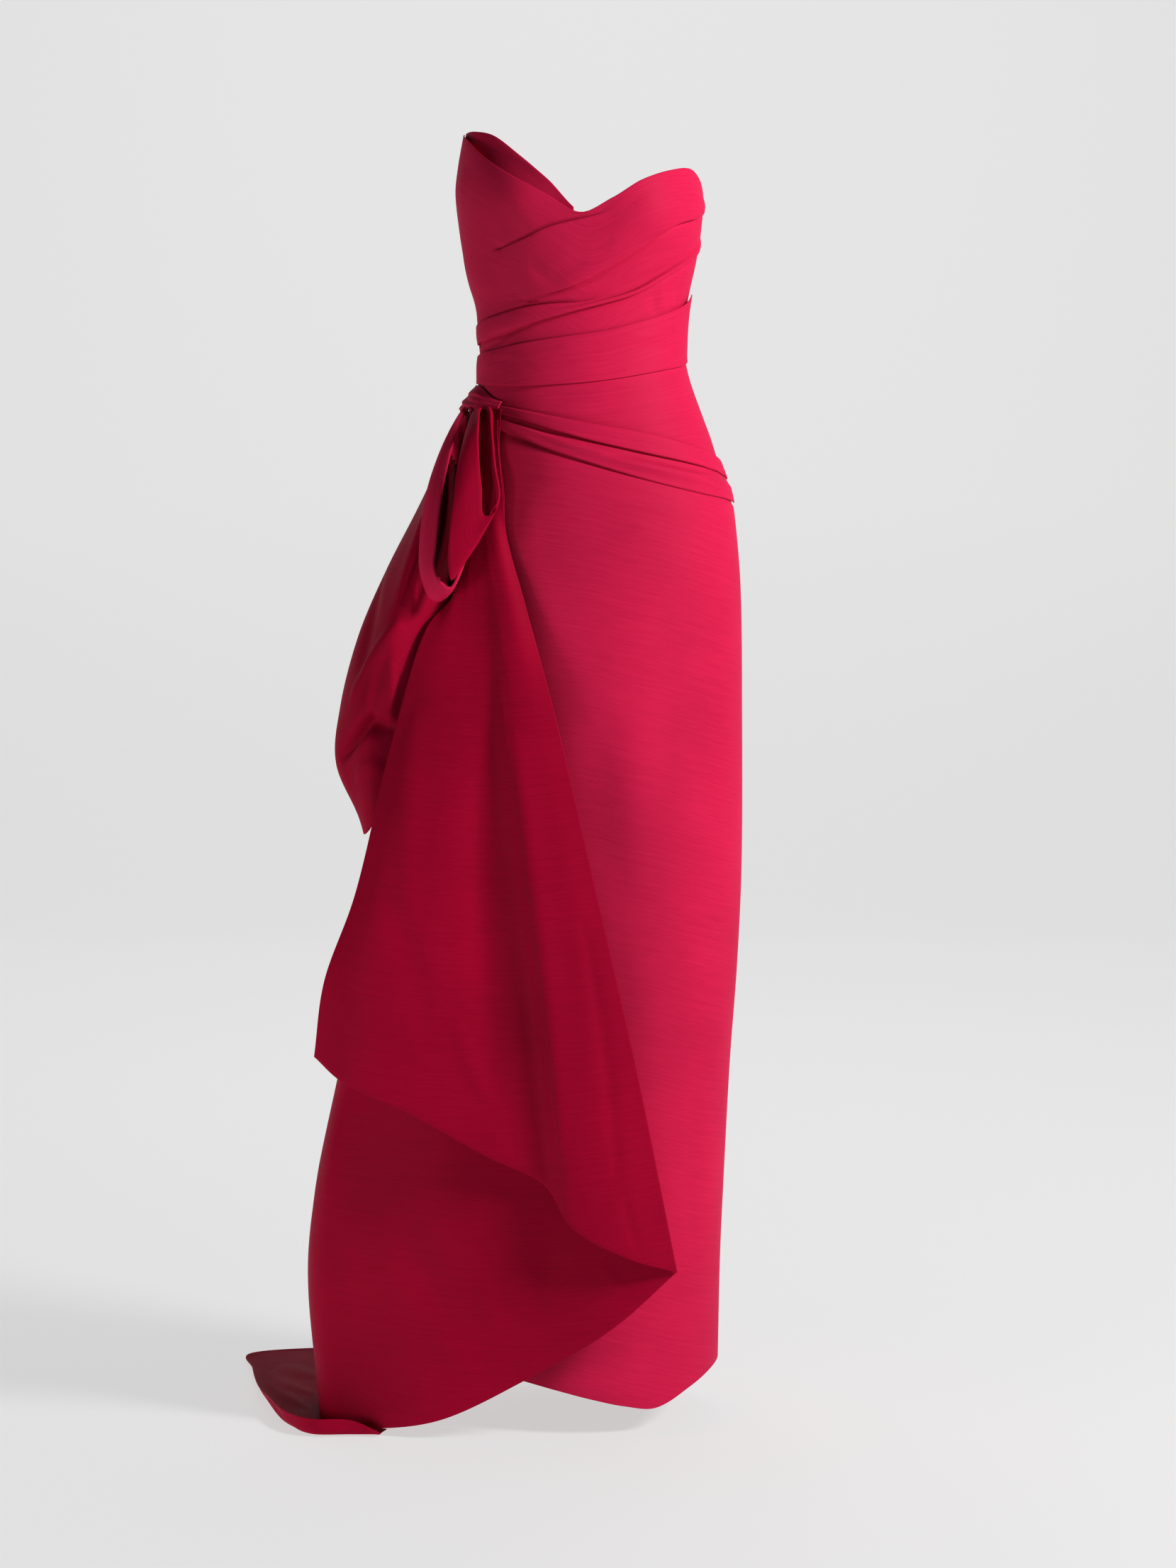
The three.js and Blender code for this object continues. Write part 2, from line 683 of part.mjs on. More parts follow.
// The concealed zip behind: a chain under the gap, a slider and its pull tab
function chainLine(lift) {
  const backRows = [bodiceBackRows(backNecks.left), skirtBackRows(backHems.left)];
  const heights = backRows.flatMap((rows) => columnProfile(leftBackStations, rows, 180).map(([z]) => z));
  const kept = heights.filter((z) => z < zip.top && z > zip.bottom && z !== waistSeam);
  return [zip.top, ...kept, zip.bottom].map((z) => {
    const middle = onFigure(180, z, lift);
    return [-1, 1].map((side) => middle.clone().setX(middle.x + (side * zip.width) / 2));
  });
}
const zipChain = closedWall("zip_chain", chainLine(zip.lift), chainLine(zip.lift - zip.thick));

function solidOf(geometry) {
  const plain = geometry.clone();
  plain.deleteAttribute("normal");
  plain.deleteAttribute("uv");
  const merged = mergeVertices(plain, 1e-4);
  const vertProperties = new Float32Array(merged.attributes.position.array);
  const triVerts = new Uint32Array(merged.index.array);
  return new wasm.Manifold(new wasm.Mesh({ numProp: 3, vertProperties, triVerts }));
}

function meshOfSolid(name, solid, look) {
  const { vertProperties, triVerts, numProp } = solid.getMesh();
  const points = [];
  for (let k = 0; k < vertProperties.length; k += numProp) {
    points.push(new THREE.Vector3(vertProperties[k], vertProperties[k + 1], vertProperties[k + 2]));
  }
  return bodyMesh(name, points, Array.from(triVerts), look);
}

// A block between two corners, in the zip's own frame: across, out of the cloth, up.
const zipMiddle = onFigure(180, slider.z);
function block(low, high) {
  const spans = high.map((value, k) => value - low[k]);
  const geometry = new THREE.BoxGeometry(...spans);
  const middle = high.map((value, k) => (value + low[k]) / 2);
  geometry.translate(zipMiddle.x + middle[0], zipMiddle.y + middle[1], zipMiddle.z + middle[2]);
  return solidOf(geometry);
}

function rod(radius, long, segments) {
  const geometry = new THREE.CylinderGeometry(radius, radius, long, segments);
  geometry.rotateZ(Math.PI / 2);
  geometry.translate(zipMiddle.x, zipMiddle.y + slider.pinLift, zipMiddle.z);
  return solidOf(geometry);
}

// The slider's parts from the inside out, each with the depths it lies between: the plate behind the
// chain, the neck through the gap, the block outside and the two cheeks that hold the pull tab's pin.
const sliderParts = {
  plate: { half: 4, tall: 6, from: -4.6, to: -2.4 },
  neck: { half: 0.6, tall: 5, from: -3, to: 1.4 },
  block: { half: 2.6, tall: 5, from: 1, to: 2.3 },
  cheek: { inner: 1.9, outer: 2.6, tall: 2.2, from: 2, to: 5.5 },
};
const { plate, neck, cheek } = sliderParts;
const middleBlock = ({ half, tall, from, to }) => block([-half, from, -tall], [half, to, tall]);
const zipSlider = meshOfSolid(
  "zip_slider",
  middleBlock(plate)
    .add(middleBlock(neck))
    .add(middleBlock(sliderParts.block))
    .add(block([-cheek.outer, cheek.from, -cheek.tall], [-cheek.inner, cheek.to, cheek.tall]))
    .add(block([cheek.inner, cheek.from, -cheek.tall], [cheek.outer, cheek.to, cheek.tall]))
    .add(rod(slider.pinRadius, cheek.inner + cheek.outer, rodSides.pin)),
  crimsonMetal,
);

// The pull tab: an eye round the pin, a narrow shank below it and a wider tab down to the length
const pullFront = slider.pinLift - pull.thick / 2;
const pullBack = slider.pinLift + pull.thick / 2;
const flat = (width, top, bottom) => block([-width / 2, pullFront, bottom], [width / 2, pullBack, top]);
const zipPull = meshOfSolid(
  "zip_pull",
  rod(pull.eyeRadius, pull.eyeWidth, rodSides.eye)
    .add(flat(pull.eyeWidth, pull.shankTop, pull.shankBottom))
    .add(flat(pull.tabWidth, pull.tabTop, -pull.length))
    .subtract(rod(pull.holeRadius, pull.eyeWidth + 2 * pull.holeReach, rodSides.eye)),
  crimsonMetal,
);

const group = new THREE.Group();
group.name = "draped_gown";
group.add(
  bodiceFront,
  bodiceInnerCup,
  bodiceBackLeft,
  bodiceBackRight,
  waistband,
  hipYoke,
  skirtFront,
  skirtBackLeft,
  skirtBackRight,
  wrapPanel,
  cascadePanel,
  sideDrape,
  train,
  loopSmall,
  loopLarge,
  hipGather,
  zipChain,
  zipSlider,
  zipPull,
);

export default group;
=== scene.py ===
import math
import bpy
import numpy as np
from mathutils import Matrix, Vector


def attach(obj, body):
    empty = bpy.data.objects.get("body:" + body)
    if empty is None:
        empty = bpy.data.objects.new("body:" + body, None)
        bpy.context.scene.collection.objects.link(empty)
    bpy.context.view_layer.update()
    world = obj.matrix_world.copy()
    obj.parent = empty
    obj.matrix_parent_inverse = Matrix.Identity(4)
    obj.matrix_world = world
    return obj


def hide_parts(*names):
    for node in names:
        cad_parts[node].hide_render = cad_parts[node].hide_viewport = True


# A draped strapless gown, kept in the hollow form it has when worn.
# Shapes are worked out in millimetres: X to the wearer's left, Y to the back, Z up, origin at the waist.
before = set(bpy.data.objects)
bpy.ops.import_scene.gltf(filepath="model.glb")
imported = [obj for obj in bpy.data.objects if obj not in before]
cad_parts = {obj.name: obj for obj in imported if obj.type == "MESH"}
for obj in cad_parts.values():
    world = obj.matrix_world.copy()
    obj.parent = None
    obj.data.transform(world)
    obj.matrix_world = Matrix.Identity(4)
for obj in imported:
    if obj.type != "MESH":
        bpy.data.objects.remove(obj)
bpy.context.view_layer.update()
print("frame loaded")

toMetres = 0.001
gownBody = "gown"

# The general figure: height, centre across, half width, depth in front, depth behind
figureRings = [
    [264, -4, 132, 95, 80], [225, -6, 137, 98, 82], [195, -4, 142, 100, 84], [155, -3, 139, 99, 84],
    [117, -3, 133, 95, 82], [90, -3, 127, 91, 80], [65, -2, 121, 88, 79], [45, -2, 119, 87, 79],
    [20, -1, 118, 87, 81], [5, 0, 118, 88, 84], [-20, 2, 122, 92, 92], [-59, 4, 134, 102, 106],
    [-83, 5, 142, 107, 113], [-105, 5, 149, 112, 120], [-142, 7, 160, 118, 126], [-173, 7, 166, 122, 128],
    [-256, 8, 172, 128, 126], [-391, 8, 174, 130, 124], [-574, 8, 174, 131, 126], [-692, 8, 169, 131, 129],
    [-803, 8, 161, 131, 132], [-941, 8, 154, 132, 136], [-1034, 8, 150, 134, 138], [-1190, 9, 146, 138, 142],
]
bustCup = {"angle": 38, "height": 175, "proud": 14, "spreadAngle": 26, "spreadHeight": 45}

frontStations = [-90, -70, -50, -30, -15, 0, 15, 30, 50, 70, 90]
rightBackStations = [-180, -155, -130, -110, -90]
leftBackStations = [90, 110, 130, 155, 180]


def mix(a, b, t):  # the straight blend from a to b at t
    return a + (b - a) * t


def ease(t):  # three t squared less two t cubed: level at both ends
    return t * t * (3 - 2 * t)


def unit(vectors):  # each vector over its own length
    return vectors / np.maximum(np.linalg.norm(vectors, axis=-1, keepdims=True), 1e-9)


# Cubic pieces between the rows of a table whose first column falls, each slope shared by two pieces.
def readTable(rows, at):
    rows = np.asarray(rows, float)
    last = len(rows) - 1
    at = np.clip(at, rows[-1, 0], rows[0, 0])
    k = np.clip(np.searchsorted(-rows[:, 0], -at, side="right") - 1, 0, last - 1)
    order = np.arange(last + 1)
    before, after = rows[np.maximum(order - 1, 0)], rows[np.minimum(order + 1, last)]
    slopes = (after[:, 1:] - before[:, 1:]) / (after[:, :1] - before[:, :1])
    span = rows[k + 1, 0] - rows[k, 0]
    t = (at - rows[k, 0]) / span
    t, bend = t[..., None], (span * t * (1 - t))[..., None]
    return mix(rows[k, 1:], rows[k + 1, 1:], ease(t)) + bend * ((1 - t) * slopes[k] - t * slopes[k + 1])


def cupProud(theta, z):  # two soft bumps, each a bell in angle times a bell in height
    side = sum(np.exp(-(((theta - way * bustCup["angle"]) / bustCup["spreadAngle"]) ** 2)) for way in (-1, 1))
    return bustCup["proud"] * side * np.exp(-(((z - bustCup["height"]) / bustCup["spreadHeight"]) ** 2))


# A point over the figure: an ellipse for each height, moved out along its normal by the lift.
def onFigure(theta, z, lift=0.0):
    theta, z, lift = np.broadcast_arrays(*(np.asarray(value, float) for value in (theta, z, lift)))
    centre, half, front, back = np.moveaxis(readTable(figureRings, z), -1, 0)
    across, along = np.sin(np.radians(theta)), -np.cos(np.radians(theta))
    depth = np.where(along < 0, front + cupProud(theta, z), back)
    normalX, normalY = across * depth, along * half
    long = np.hypot(normalX, normalY)
    return np.stack([centre + half * across + lift * normalX / long, depth * along + lift * normalY / long, z], -1)


# A value for each angle: the table of stations and values read as above, or one number for all angles.
def atStation(stations, values, theta):
    if np.isscalar(values):
        return np.full(np.shape(theta), float(values))
    table = [[-angle, value] for angle, value in zip(stations, values)]
    return readTable(table, -np.asarray(theta, float))[..., 0]


creaseForm = {"fade": 0.8, "narrowest": 0.45}


# Creases are rows of: start across, start down, end across, end down, bow, half width, height (a trough is
# negative). Each is a bell across a bowed line, narrowing and fading to nothing at both of its ends.
def creaseHeight(across, down, creases):
    height = np.zeros(np.shape(across))
    for x0, y0, x1, y1, bow, width, tall in creases:
        dx, dy = x1 - x0, y1 - y0
        long = math.hypot(dx, dy)
        along = ((across - x0) * dx + (down - y0) * dy) / long**2
        aside = ((across - x0) * dy - (down - y0) * dx) / long
        inside = np.clip(along, 0, 1)
        fade = np.sin(math.pi * inside) ** creaseForm["fade"]
        offset = (aside - bow * 4 * inside * (1 - inside)) / (width * mix(creaseForm["narrowest"], 1, fade))
        height += tall * fade * np.exp(-(offset**2))
    return height


# The cross product of the slope along the rows and the slope down the columns.
def gridNormals(grid, ring=False):
    if ring:
        wide = np.concatenate([grid[:, -1:], grid, grid[:, :1]], 1)
        across = (wide[:, 2:] - wide[:, :-2]) / 2
    else:
        across = np.gradient(grid, axis=1)
    return unit(np.cross(across, np.gradient(grid, axis=0)))


# How far each point lies along its row and down its column, as running sums of the distances.
def gridLengths(grid):
    across, down = np.zeros(grid.shape[:2]), np.zeros(grid.shape[:2])
    across[:, 1:] = np.cumsum(np.linalg.norm(np.diff(grid, axis=1), axis=-1), 1)
    down[1:] = np.cumsum(np.linalg.norm(np.diff(grid, axis=0), axis=-1), 0)
    return across, down


# A sheet of cloth with rounded rims: the middle surface is padded by two rings on each free side, where the
# half thickness falls to nothing as a quarter circle, and both faces share the outermost ring.
def clothPiece(name, grid, thickness, side=1, ring=False):
    grid = np.asarray(grid, float)
    normals = gridNormals(grid, ring) * side
    middle, half = grid - normals * thickness / 2, np.full(grid.shape[:2], thickness / 2)
    turns = np.radians([90, 45])
    for axis in (0,) if ring else (0, 1):
        middle, normals, half = (np.moveaxis(value, axis, 0) for value in (middle, normals, half))
        starts, ends = unit(middle[0] - middle[1]), unit(middle[-1] - middle[-2])
        head = [middle[0] + starts * thickness / 2 * math.sin(turn) for turn in turns]
        tail = [middle[-1] + ends * thickness / 2 * math.sin(turn) for turn in turns[::-1]]
        headHalf = [half[0] * math.cos(turn) for turn in turns]
        tailHalf = [half[-1] * math.cos(turn) for turn in turns[::-1]]
        middle = np.concatenate([head, middle, tail])
        half = np.concatenate([headHalf, half, tailHalf])
        normals = np.concatenate([normals[:1], normals[:1], normals, normals[-1:], normals[-1:]])
        middle, normals, half = (np.moveaxis(value, 0, axis) for value in (middle, normals, half))
    rows, columns = half.shape
    outer, inner = middle + normals * half[..., None], middle - normals * half[..., None]
    index = np.arange(rows * columns).reshape(rows, columns)
    innerIndex = index + rows * columns
    innerIndex[0], innerIndex[-1] = index[0], index[-1]
    if not ring:
        innerIndex[:, 0], innerIndex[:, -1] = index[:, 0], index[:, -1]
    quads = []
    for layer, order in ((index, 1), (innerIndex, -1)):
        layer = np.concatenate([layer, layer[:, :1]], 1) if ring else layer
        corners = np.stack([layer[:-1, :-1], layer[1:, :-1], layer[1:, 1:], layer[:-1, 1:]], -1).reshape(-1, 4)
        quads.append(corners[:, ::order])
    quads = np.concatenate(quads)
    if side > 0:
        quads = quads[:, ::-1]
    lengths = np.stack(gridLengths(middle), -1).reshape(-1, 2) * toMetres
    points = np.concatenate([outer.reshape(-1, 3), inner.reshape(-1, 3)]) * toMetres
    used, packed = np.unique(quads, return_inverse=True)
    lengths = np.concatenate([lengths, lengths])[used]
    return meshPiece(name, points[used], packed.reshape(-1, 4), lengths)


# A smooth mesh from whole arrays of points and faces, with the cloth's lengths in metres as its UV map.
def meshPiece(name, points, faces, lengths=None):
    mesh = bpy.data.meshes.new(name)
    mesh.vertices.add(len(points))
    mesh.vertices.foreach_set("co", np.asarray(points, float).ravel())
    faces = np.asarray(faces)
    mesh.loops.add(faces.size)
    mesh.loops.foreach_set("vertex_index", faces.ravel())
    mesh.polygons.add(len(faces))
    mesh.polygons.foreach_set("loop_start", np.arange(len(faces)) * faces.shape[1])
    mesh.polygons.foreach_set("use_smooth", np.ones(len(faces), bool))
    mesh.update(calc_edges=True)
    if lengths is not None:
        layer = mesh.uv_layers.new(name="clothLengths")
        layer.data.foreach_set("uv", lengths[faces.ravel()].ravel())
    mesh.validate()
    piece = bpy.data.objects.new(name, mesh)
    bpy.context.scene.collection.objects.link(piece)
    return piece


# Panels that follow the figure


# A pleat's edge is a rolled fold. Its rows are: how far back from the edge, share of the step, share of the dip.
pleat = {
    "roll": [
        (4.0, 1.0, 0), (1.4, 0.97, 0), (0.4, 0.84, 0), (0.0, 0.6, 0), (0.4, 0.36, 0), (1.8, 0.16, 0.4),
        (3.6, 0, 1.0), (-1.0, 0, 0.9), (-3.0, 0, 0.45), (-5.0, 0, 0),
    ],
    "scale": 1.35, "dip": 2.0, "fullStep": 2.5,
}
# A folded top edge. Its rows are: how far below the edge, share of the lift above the seat on what lies behind.
topEdge = {
    "roll": [(9.0, 0.0), (4.0, 0.0), (1.3, 0.04), (0.3, 0.25), (0.0, 0.55), (0.6, 0.86)],
    "seat": 1.5, "drop": 2.4,
}


# The knots of a panel's profile, arrays over the angles: height, lift, cuts and puff of the stretch above.
# The cloth turns at a pleat's edge, runs back beneath itself and dips where it comes out below. Where
# the step fades out its knots spread evenly instead.
def panelKnots(stations, rows, theta):
    knots = []
    for row in rows:
        z = atStation(stations, row["z"], theta)
        lift = atStation(stations, row.get("lift", 0.0), theta)
        cuts, puff = row.get("cuts", 1), row.get("puff", 0.0)
        if row.get("rolled"):
            knots += [(z - below, mix(topEdge["seat"], lift, share), 2, 0.0) for below, share in topEdge["roll"]]
            z = z - topEdge["drop"]
        if "faces" not in row:
            knots.append((z, lift, cuts, puff))
            continue
        step = np.maximum(atStation(stations, row["step"], theta), 0) * pleat["scale"]
        size = np.minimum(step / pleat["fullStep"], 1)
        way = 1 if row["faces"] == "down" else -1
        even = np.linspace(pleat["roll"][0][0], pleat["roll"][-1][0], len(pleat["roll"]))
        fold = [
            (z + way * mix(flat, back, size), lift + step * high - pleat["dip"] * size * dip, 1, 0.0)
            for flat, (back, high, dip) in zip(even, pleat["roll"])
        ]
        fold = fold if way > 0 else fold[::-1]
        knots.append(fold[0][:2] + (cuts, puff))
        knots.extend(fold[1:])
    return knots


creaseRadius = 120  # turns a panel's angles into millimetres across, for its creases


# A panel is its profile over every angle: straight between knots in height, eased in lift, with the puff as a
# parabola, and then its creases.
def figurePanel(piece):
    theta = np.linspace(piece["from"], piece["to"], piece["columns"])
    knots = panelKnots(piece["stations"], piece["rows"], theta)
    z, lift = [knots[0][0]], [knots[0][1]]
    for before, after in zip(knots, knots[1:]):
        for cut in range(1, after[2] + 1):
            t = cut / after[2]
            z.append(mix(before[0], after[0], t))
            lift.append(mix(before[1], after[1], ease(t)) + after[3] * 4 * t * (1 - t))
    z, lift = np.array(z), np.array(lift)
    across = np.broadcast_to(np.radians(theta) * creaseRadius, z.shape)
    lift = lift + creaseHeight(across, z, piece.get("creases", []))
    return onFigure(np.broadcast_to(theta, z.shape), z, lift)


# Hanging pieces, lofted through guide lines


# A centripetal Catmull-Rom curve through points along the first axis, at each t from 0 to 1.
def curvePoints(points, t, closed=False):
    points = np.asarray(points, float)
    if closed:
        padded = np.concatenate([points[-1:], points, points[:2]])
    else:
        padded = np.concatenate([2 * points[:1] - points[1:2], points, 2 * points[-1:] - points[-2:-1]])
    spans = len(padded) - 3
    place = np.asarray(t, float) * spans
    k = np.clip(np.floor(place).astype(int), 0, spans - 1)
    w = (place - k).reshape((-1,) + (1,) * (points.ndim - 1))
    p0, p1, p2, p3 = (padded[k + step] for step in range(4))

    def gap(a, b):
        return np.maximum(np.sqrt(np.linalg.norm(b - a, axis=-1, keepdims=True)), 1e-4)

    d0, d1, d2 = gap(p0, p1), gap(p1, p2), gap(p2, p3)
    out = ((p1 - p0) / d0 - (p2 - p0) / (d0 + d1) + (p2 - p1) / d1) * d1
    into = ((p2 - p1) / d1 - (p3 - p1) / (d1 + d2) + (p3 - p2) / d2) * d1
    return p1 + w * (out + w * (3 * (p2 - p1) - 2 * out - into + w * (2 * (p1 - p2) + out + into)))


# The same curve read at even lengths along it.
def evenPoints(points, share, closed=False):
    fine = np.linspace(0, 1, 401)
    dense = curvePoints(points, fine, closed)
    lengths = np.concatenate([[0], np.cumsum(np.linalg.norm(np.diff(dense, axis=0), axis=-1))])
    return curvePoints(points, np.interp(np.asarray(share) * lengths[-1], lengths, fine), closed)


# Rows at even lengths down each guide line, with a curve across through the lines at each row.
def loftGrid(guides, rows, columns):
    v, u = np.linspace(0, 1, rows), np.linspace(0, 1, columns)
    lines = np.stack([evenPoints(line, v) for line in guides])
    return np.moveaxis(curvePoints(lines, u), 0, 1)


def loftAt(guides, u, v, lift):  # points over a loft, moved out along its normal
    u, v = np.atleast_1d(u), np.atleast_1d(v)
    reach = 0.004

    def place(a, b):
        lines = np.stack([evenPoints(line, np.clip(b, 0, 1)) for line in guides])
        return np.stack([curvePoints(lines[:, i : i + 1], np.clip(a[i : i + 1], 0, 1))[0, 0] for i in range(len(a))])

    across = place(u + reach, v) - place(u - reach, v)
    down = place(u, v + reach) - place(u, v - reach)
    return place(u, v) + lift * unit(np.cross(across, down))


# Creases on a loft lie in lengths: across from its first guide and down from its top, both in millimetres.
def creasedGrid(grid, creases, side=1):
    return grid + gridNormals(grid) * side * creaseHeight(*gridLengths(grid), creases)[..., None]


# Heights of the edges and folds at the stations
lines = {
    "neckline": [262, 252, 230, 204, 184, 164, 180, 201, 215, 219, 205],
    "cupTop": [263, 262, 254, 229, 202, 165, 165, 165, 165, 165, 165],
    "surplice": [130, 125, 123, 134, 148, 157, 167, 184, 198, 204, 194],
    "pleatOne": [76, 74, 72, 71, 76, 86, 104, 125, 152, 164, 175],
    "pleatStrip": [42, 48, 54, 61, 64, 66, 74, 86, 110, 132, 150],
    "pleatTwo": [22, 26, 32, 42, 49, 57, 65, 75, 96, 116, 133],
    "bandTop": [8, 12, 16, 21, 25, 29, 34, 42, 53, 65, 80],
    "bandBottom": [-21, -23, -26, -27, -26, -24, -20, -15, -8, -2, 5],
    "foldAEdge": [-50, -49, -49, -56, -63, -70, -76, -82, -92, -102, -112],
    "foldAValley": [-62, -58, -57, -67, -78, -89, -98, -106, -115, -123, -131],
    "foldBRidge": [-74, -68, -64, -76, -88, -99, -110, -119, -129, -136, -142],
    "foldBValley": [-88, -80, -75, -88, -101, -114, -127, -138, -148, -154, -158],
    "skirtHem": [-1152, -1150, -1150, -1155, -1162, -1171, -1180, -1185, -1168, -1155, -1150],
    "backNeckRight": [170, 180, 203, 232, 262],
    "backNeckLeft": [205, 190, 180, 173, 170],
    "backHemRight": [-1187, -1186, -1180, -1168, -1153],
    "backHemLeft": [-1152, -1162, -1176, -1184, -1187],
}


def lower(line, by):  # one of these lines moved down
    return [z - by for z in lines[line]]


sideSeam = 90 - 0.08
frontPanel = {"stations": frontStations, "from": -sideSeam, "to": sideSeam, "columns": 181}

bodiceFront = {
    **frontPanel,
    "rows": [
        {"z": lines["neckline"], "lift": [0, 1, 3, 4, 2.5, 1, 0.5, 0.5, 0.5, 0, 0]},
        {"z": lines["surplice"], "faces": "up", "step": [0, 0, 0, 2.0, 2.6, 1.6, 0, 0, 0, 0, 0], "cuts": 22},
        {
            "z": lines["pleatOne"], "faces": "down", "cuts": 16, "puff": 0.6,
            "step": [0, 0, 0, 0.5, 1.6, 2.8, 3, 3, 3, 3, 1.4],
        },
        {"z": lines["pleatStrip"], "faces": "up", "step": [1.4, 2.6, 2.8, 2.8, 2.2, 1.2, 0, 0, 0, 0, 0], "cuts": 8},
        {
            "z": lines["pleatTwo"], "faces": "down", "cuts": 8, "puff": 0.4,
            "step": [1.4, 2.6, 2.8, 2.8, 2.8, 3, 3, 3, 3, 3, 1.4],
        },
        {"z": lower("bandTop", 8), "cuts": 10},
    ],
    "creases": [
        [-102, 137, -81, 122, 0, 3, -1], [-79, 174, -46, 137, 4, 10, -1.2], [-54, 110, -14, 82, 3, 9, -1.6],
        [-86, 80, -53, 62, 0, 6, -1], [42, 162, 78, 193, -3, 9, -0.5], [54, 172, 87, 191, 0, 9, 0.4],
        [-13, 110, 33, 133, 4, 12, -1], [1, 127, 58, 148, 0, 12, 1], [-32, 94, 8, 113, 0, 8, -1.2],
        [34, 79, 133, 125, 4, 6, -1.1], [46, 94, 129, 139, 0, 7, 0.9], [85, 80, 94, 52, 0, 8, -0.9],
        [126, 92, 133, 65, 0, 7, -0.9], [99, 91, 110, 56, 2, 7, 0.7], [139, 104, 133, 80, 0, 5, -1],
        [-157, 17, -87, 32, 3, 4, -2.2], [-141, 30, -54, 41, 3, 4, -1.6], [-165, 9, -117, 15, 0, 4, -1.6],
        [-180, 189, -172, 148, 2, 8, -0.8], [-143, 227, -154, 173, -3, 12, 0.9],
    ],
    "thickness": 1.0,
    "flat": (0.46, 0.36),
    "area": 0.075,
    "held": "draped",
}
innerCup = {
    "stations": frontStations,
    "from": -sideSeam + 1.5,
    "to": -3,
    "columns": 90,
    "rows": [
        {"z": lines["cupTop"], "lift": [-2.2, -6, -11, -12, -8, -2.8, 0, 0, 0, 0, 0]},
        {"z": [215, 200, 180, 162, 152, 148, 148, 148, 148, 148, 148], "lift": -2.8, "cuts": 14},
    ],
    "creases": [[-120, 236, -96, 204, 2, 7, -0.7]],
    "thickness": 1.0,
    "flat": (0.2, 0.08),
    "area": 0.0085,
    "held": "draped",
}
waistbandFront = {
    **frontPanel,
    "rows": [
        {"z": lines["bandTop"], "lift": [3.4, 3.6, 3.6, 3.4, 3.2, 3.0, 3.0, 3.2, 3.4, 3.8, 4]},
        {"z": lines["bandBottom"], "lift": 2.4, "cuts": 24, "puff": 1.2},
    ],
    "creases": [
        [-89, 13, -21, 18, 2, 5, -0.9], [88, 26, 157, 35, 0, 4, -0.9], [49, 27, 145, 42, 2, 6, 0.9],
        [64, 31, 155, 45, 2, 4, -0.9], [31, 10, 147, 18, -3, 6, -0.7], [-129, 2, -51, -10, -4, 6, -0.9],
        [-112, -15, -3, -12, 3, 7, 0.6], [-134, 13, -91, 17, 0, 4, -1.2],
    ],
    "thickness": 1.2,
    "flat": (0.36, 0.06),
    "held": "draped",
}
hipYoke = {
    **frontPanel,
    "rows": [
        {"z": lower("bandBottom", -8)},
        {"z": lower("foldAEdge", 8), "cuts": 40},
    ],
    "creases": [[-60, -34, 20, -44, 2, 6, -0.6], [70, -38, 150, -74, 3, 7, -0.7], [110, -20, 165, -38, 0, 6, 0.6]],
    "thickness": 1.2,
    "flat": (0.36, 0.08),
    "held": "draped",
}
skirtFront = {
    **frontPanel,
    "rows": [
        {"z": lines["foldAEdge"], "lift": [2.2, 2.2, 2.8, 5, 6, 6, 5.6, 5.2, 4.8, 4.6, 3.8], "rolled": True},
        {
            "z": lines["foldAValley"], "faces": "down", "cuts": 7,
            "lift": [2.2, 2.2, 2.0, 1.4, 1.4, 1.4, 1.6, 1.8, 2.0, 2.4, 2.8],
            "step": [0, 0, 1.0, 2.6, 2.8, 2.6, 2.2, 1.8, 1.4, 1.0, 0.8],
        },
        {"z": lines["foldBRidge"], "lift": [2.2, 2.2, 2.6, 6, 8, 9, 8.6, 7.6, 6.6, 5.8, 4.2], "cuts": 7},
        {
            "z": lines["foldBValley"], "faces": "down", "lift": 2.2, "cuts": 7,
            "step": [0, 0, 1.0, 2.4, 2.4, 2.0, 1.4, 0.9, 0.7, 1.0, 1.6],
        },
        {"z": -256, "lift": 2.2, "cuts": 12},
        {"z": -391, "lift": 2.2, "cuts": 10},
        {"z": -574, "lift": 2.2, "cuts": 12},
        {"z": -803, "lift": 2.2, "cuts": 14},
        {"z": lines["skirtHem"], "lift": 2.2, "cuts": 24},
    ],
    "creases": [
        [-88, -64, -8, -93, 2, 6, -2.5], [-23, -90, 54, -114, 3, 4, -1.6], [12, -103, 124, -125, 2, 4, -1.8],
        [-46, -78, 46, -105, 3, 5, 1.4], [149, -119, 174, -131, 0, 4, -1.4], [118, -112, 152, -125, 2, 3, -1.2],
        [103, -133, 143, -135, -2, 4, -1], [80, -142, 139, -162, 4, 6, -0.8], [41, -173, 98, -189, 5, 9, -0.8],
        [22, -201, 91, -183, -5, 10, 0.7], [10, -391, 26, -623, 12, 26, -3.2], [40, -406, 38, -580, 8, 22, 2],
        [58, -296, 52, -498, -8, 20, -1.6], [-51, -147, -23, -337, 6, 14, 1.2], [75, -623, 75, -838, 6, 22, -1.5],
        [21, -639, 45, -866, 10, 18, -1.8], [44, -835, 74, -1040, -6, 20, 1.4], [41, -1103, 88, -1144, 4, 12, -1.4],
        [99, -801, 107, -1046, 4, 18, -1.6],
    ],
    "thickness": 1.2,
    "flat": (0.5, 1.12),
    "held": "draped",
}
backSpans = {
    "right": {"stations": rightBackStations, "from": -180, "to": -180 + sideSeam, "columns": 90},
    "left": {"stations": leftBackStations, "from": 180 - sideSeam, "to": 180, "columns": 90},
}


# A back panel stops short of the middle line by its gap, in degrees.
def backPanel(way, gap, rows, **sizes):
    span = dict(backSpans[way])
    span["from" if way == "right" else "to"] += gap if way == "right" else -gap
    return {**span, "rows": rows, "thickness": 1.2, "held": "draped", **sizes}


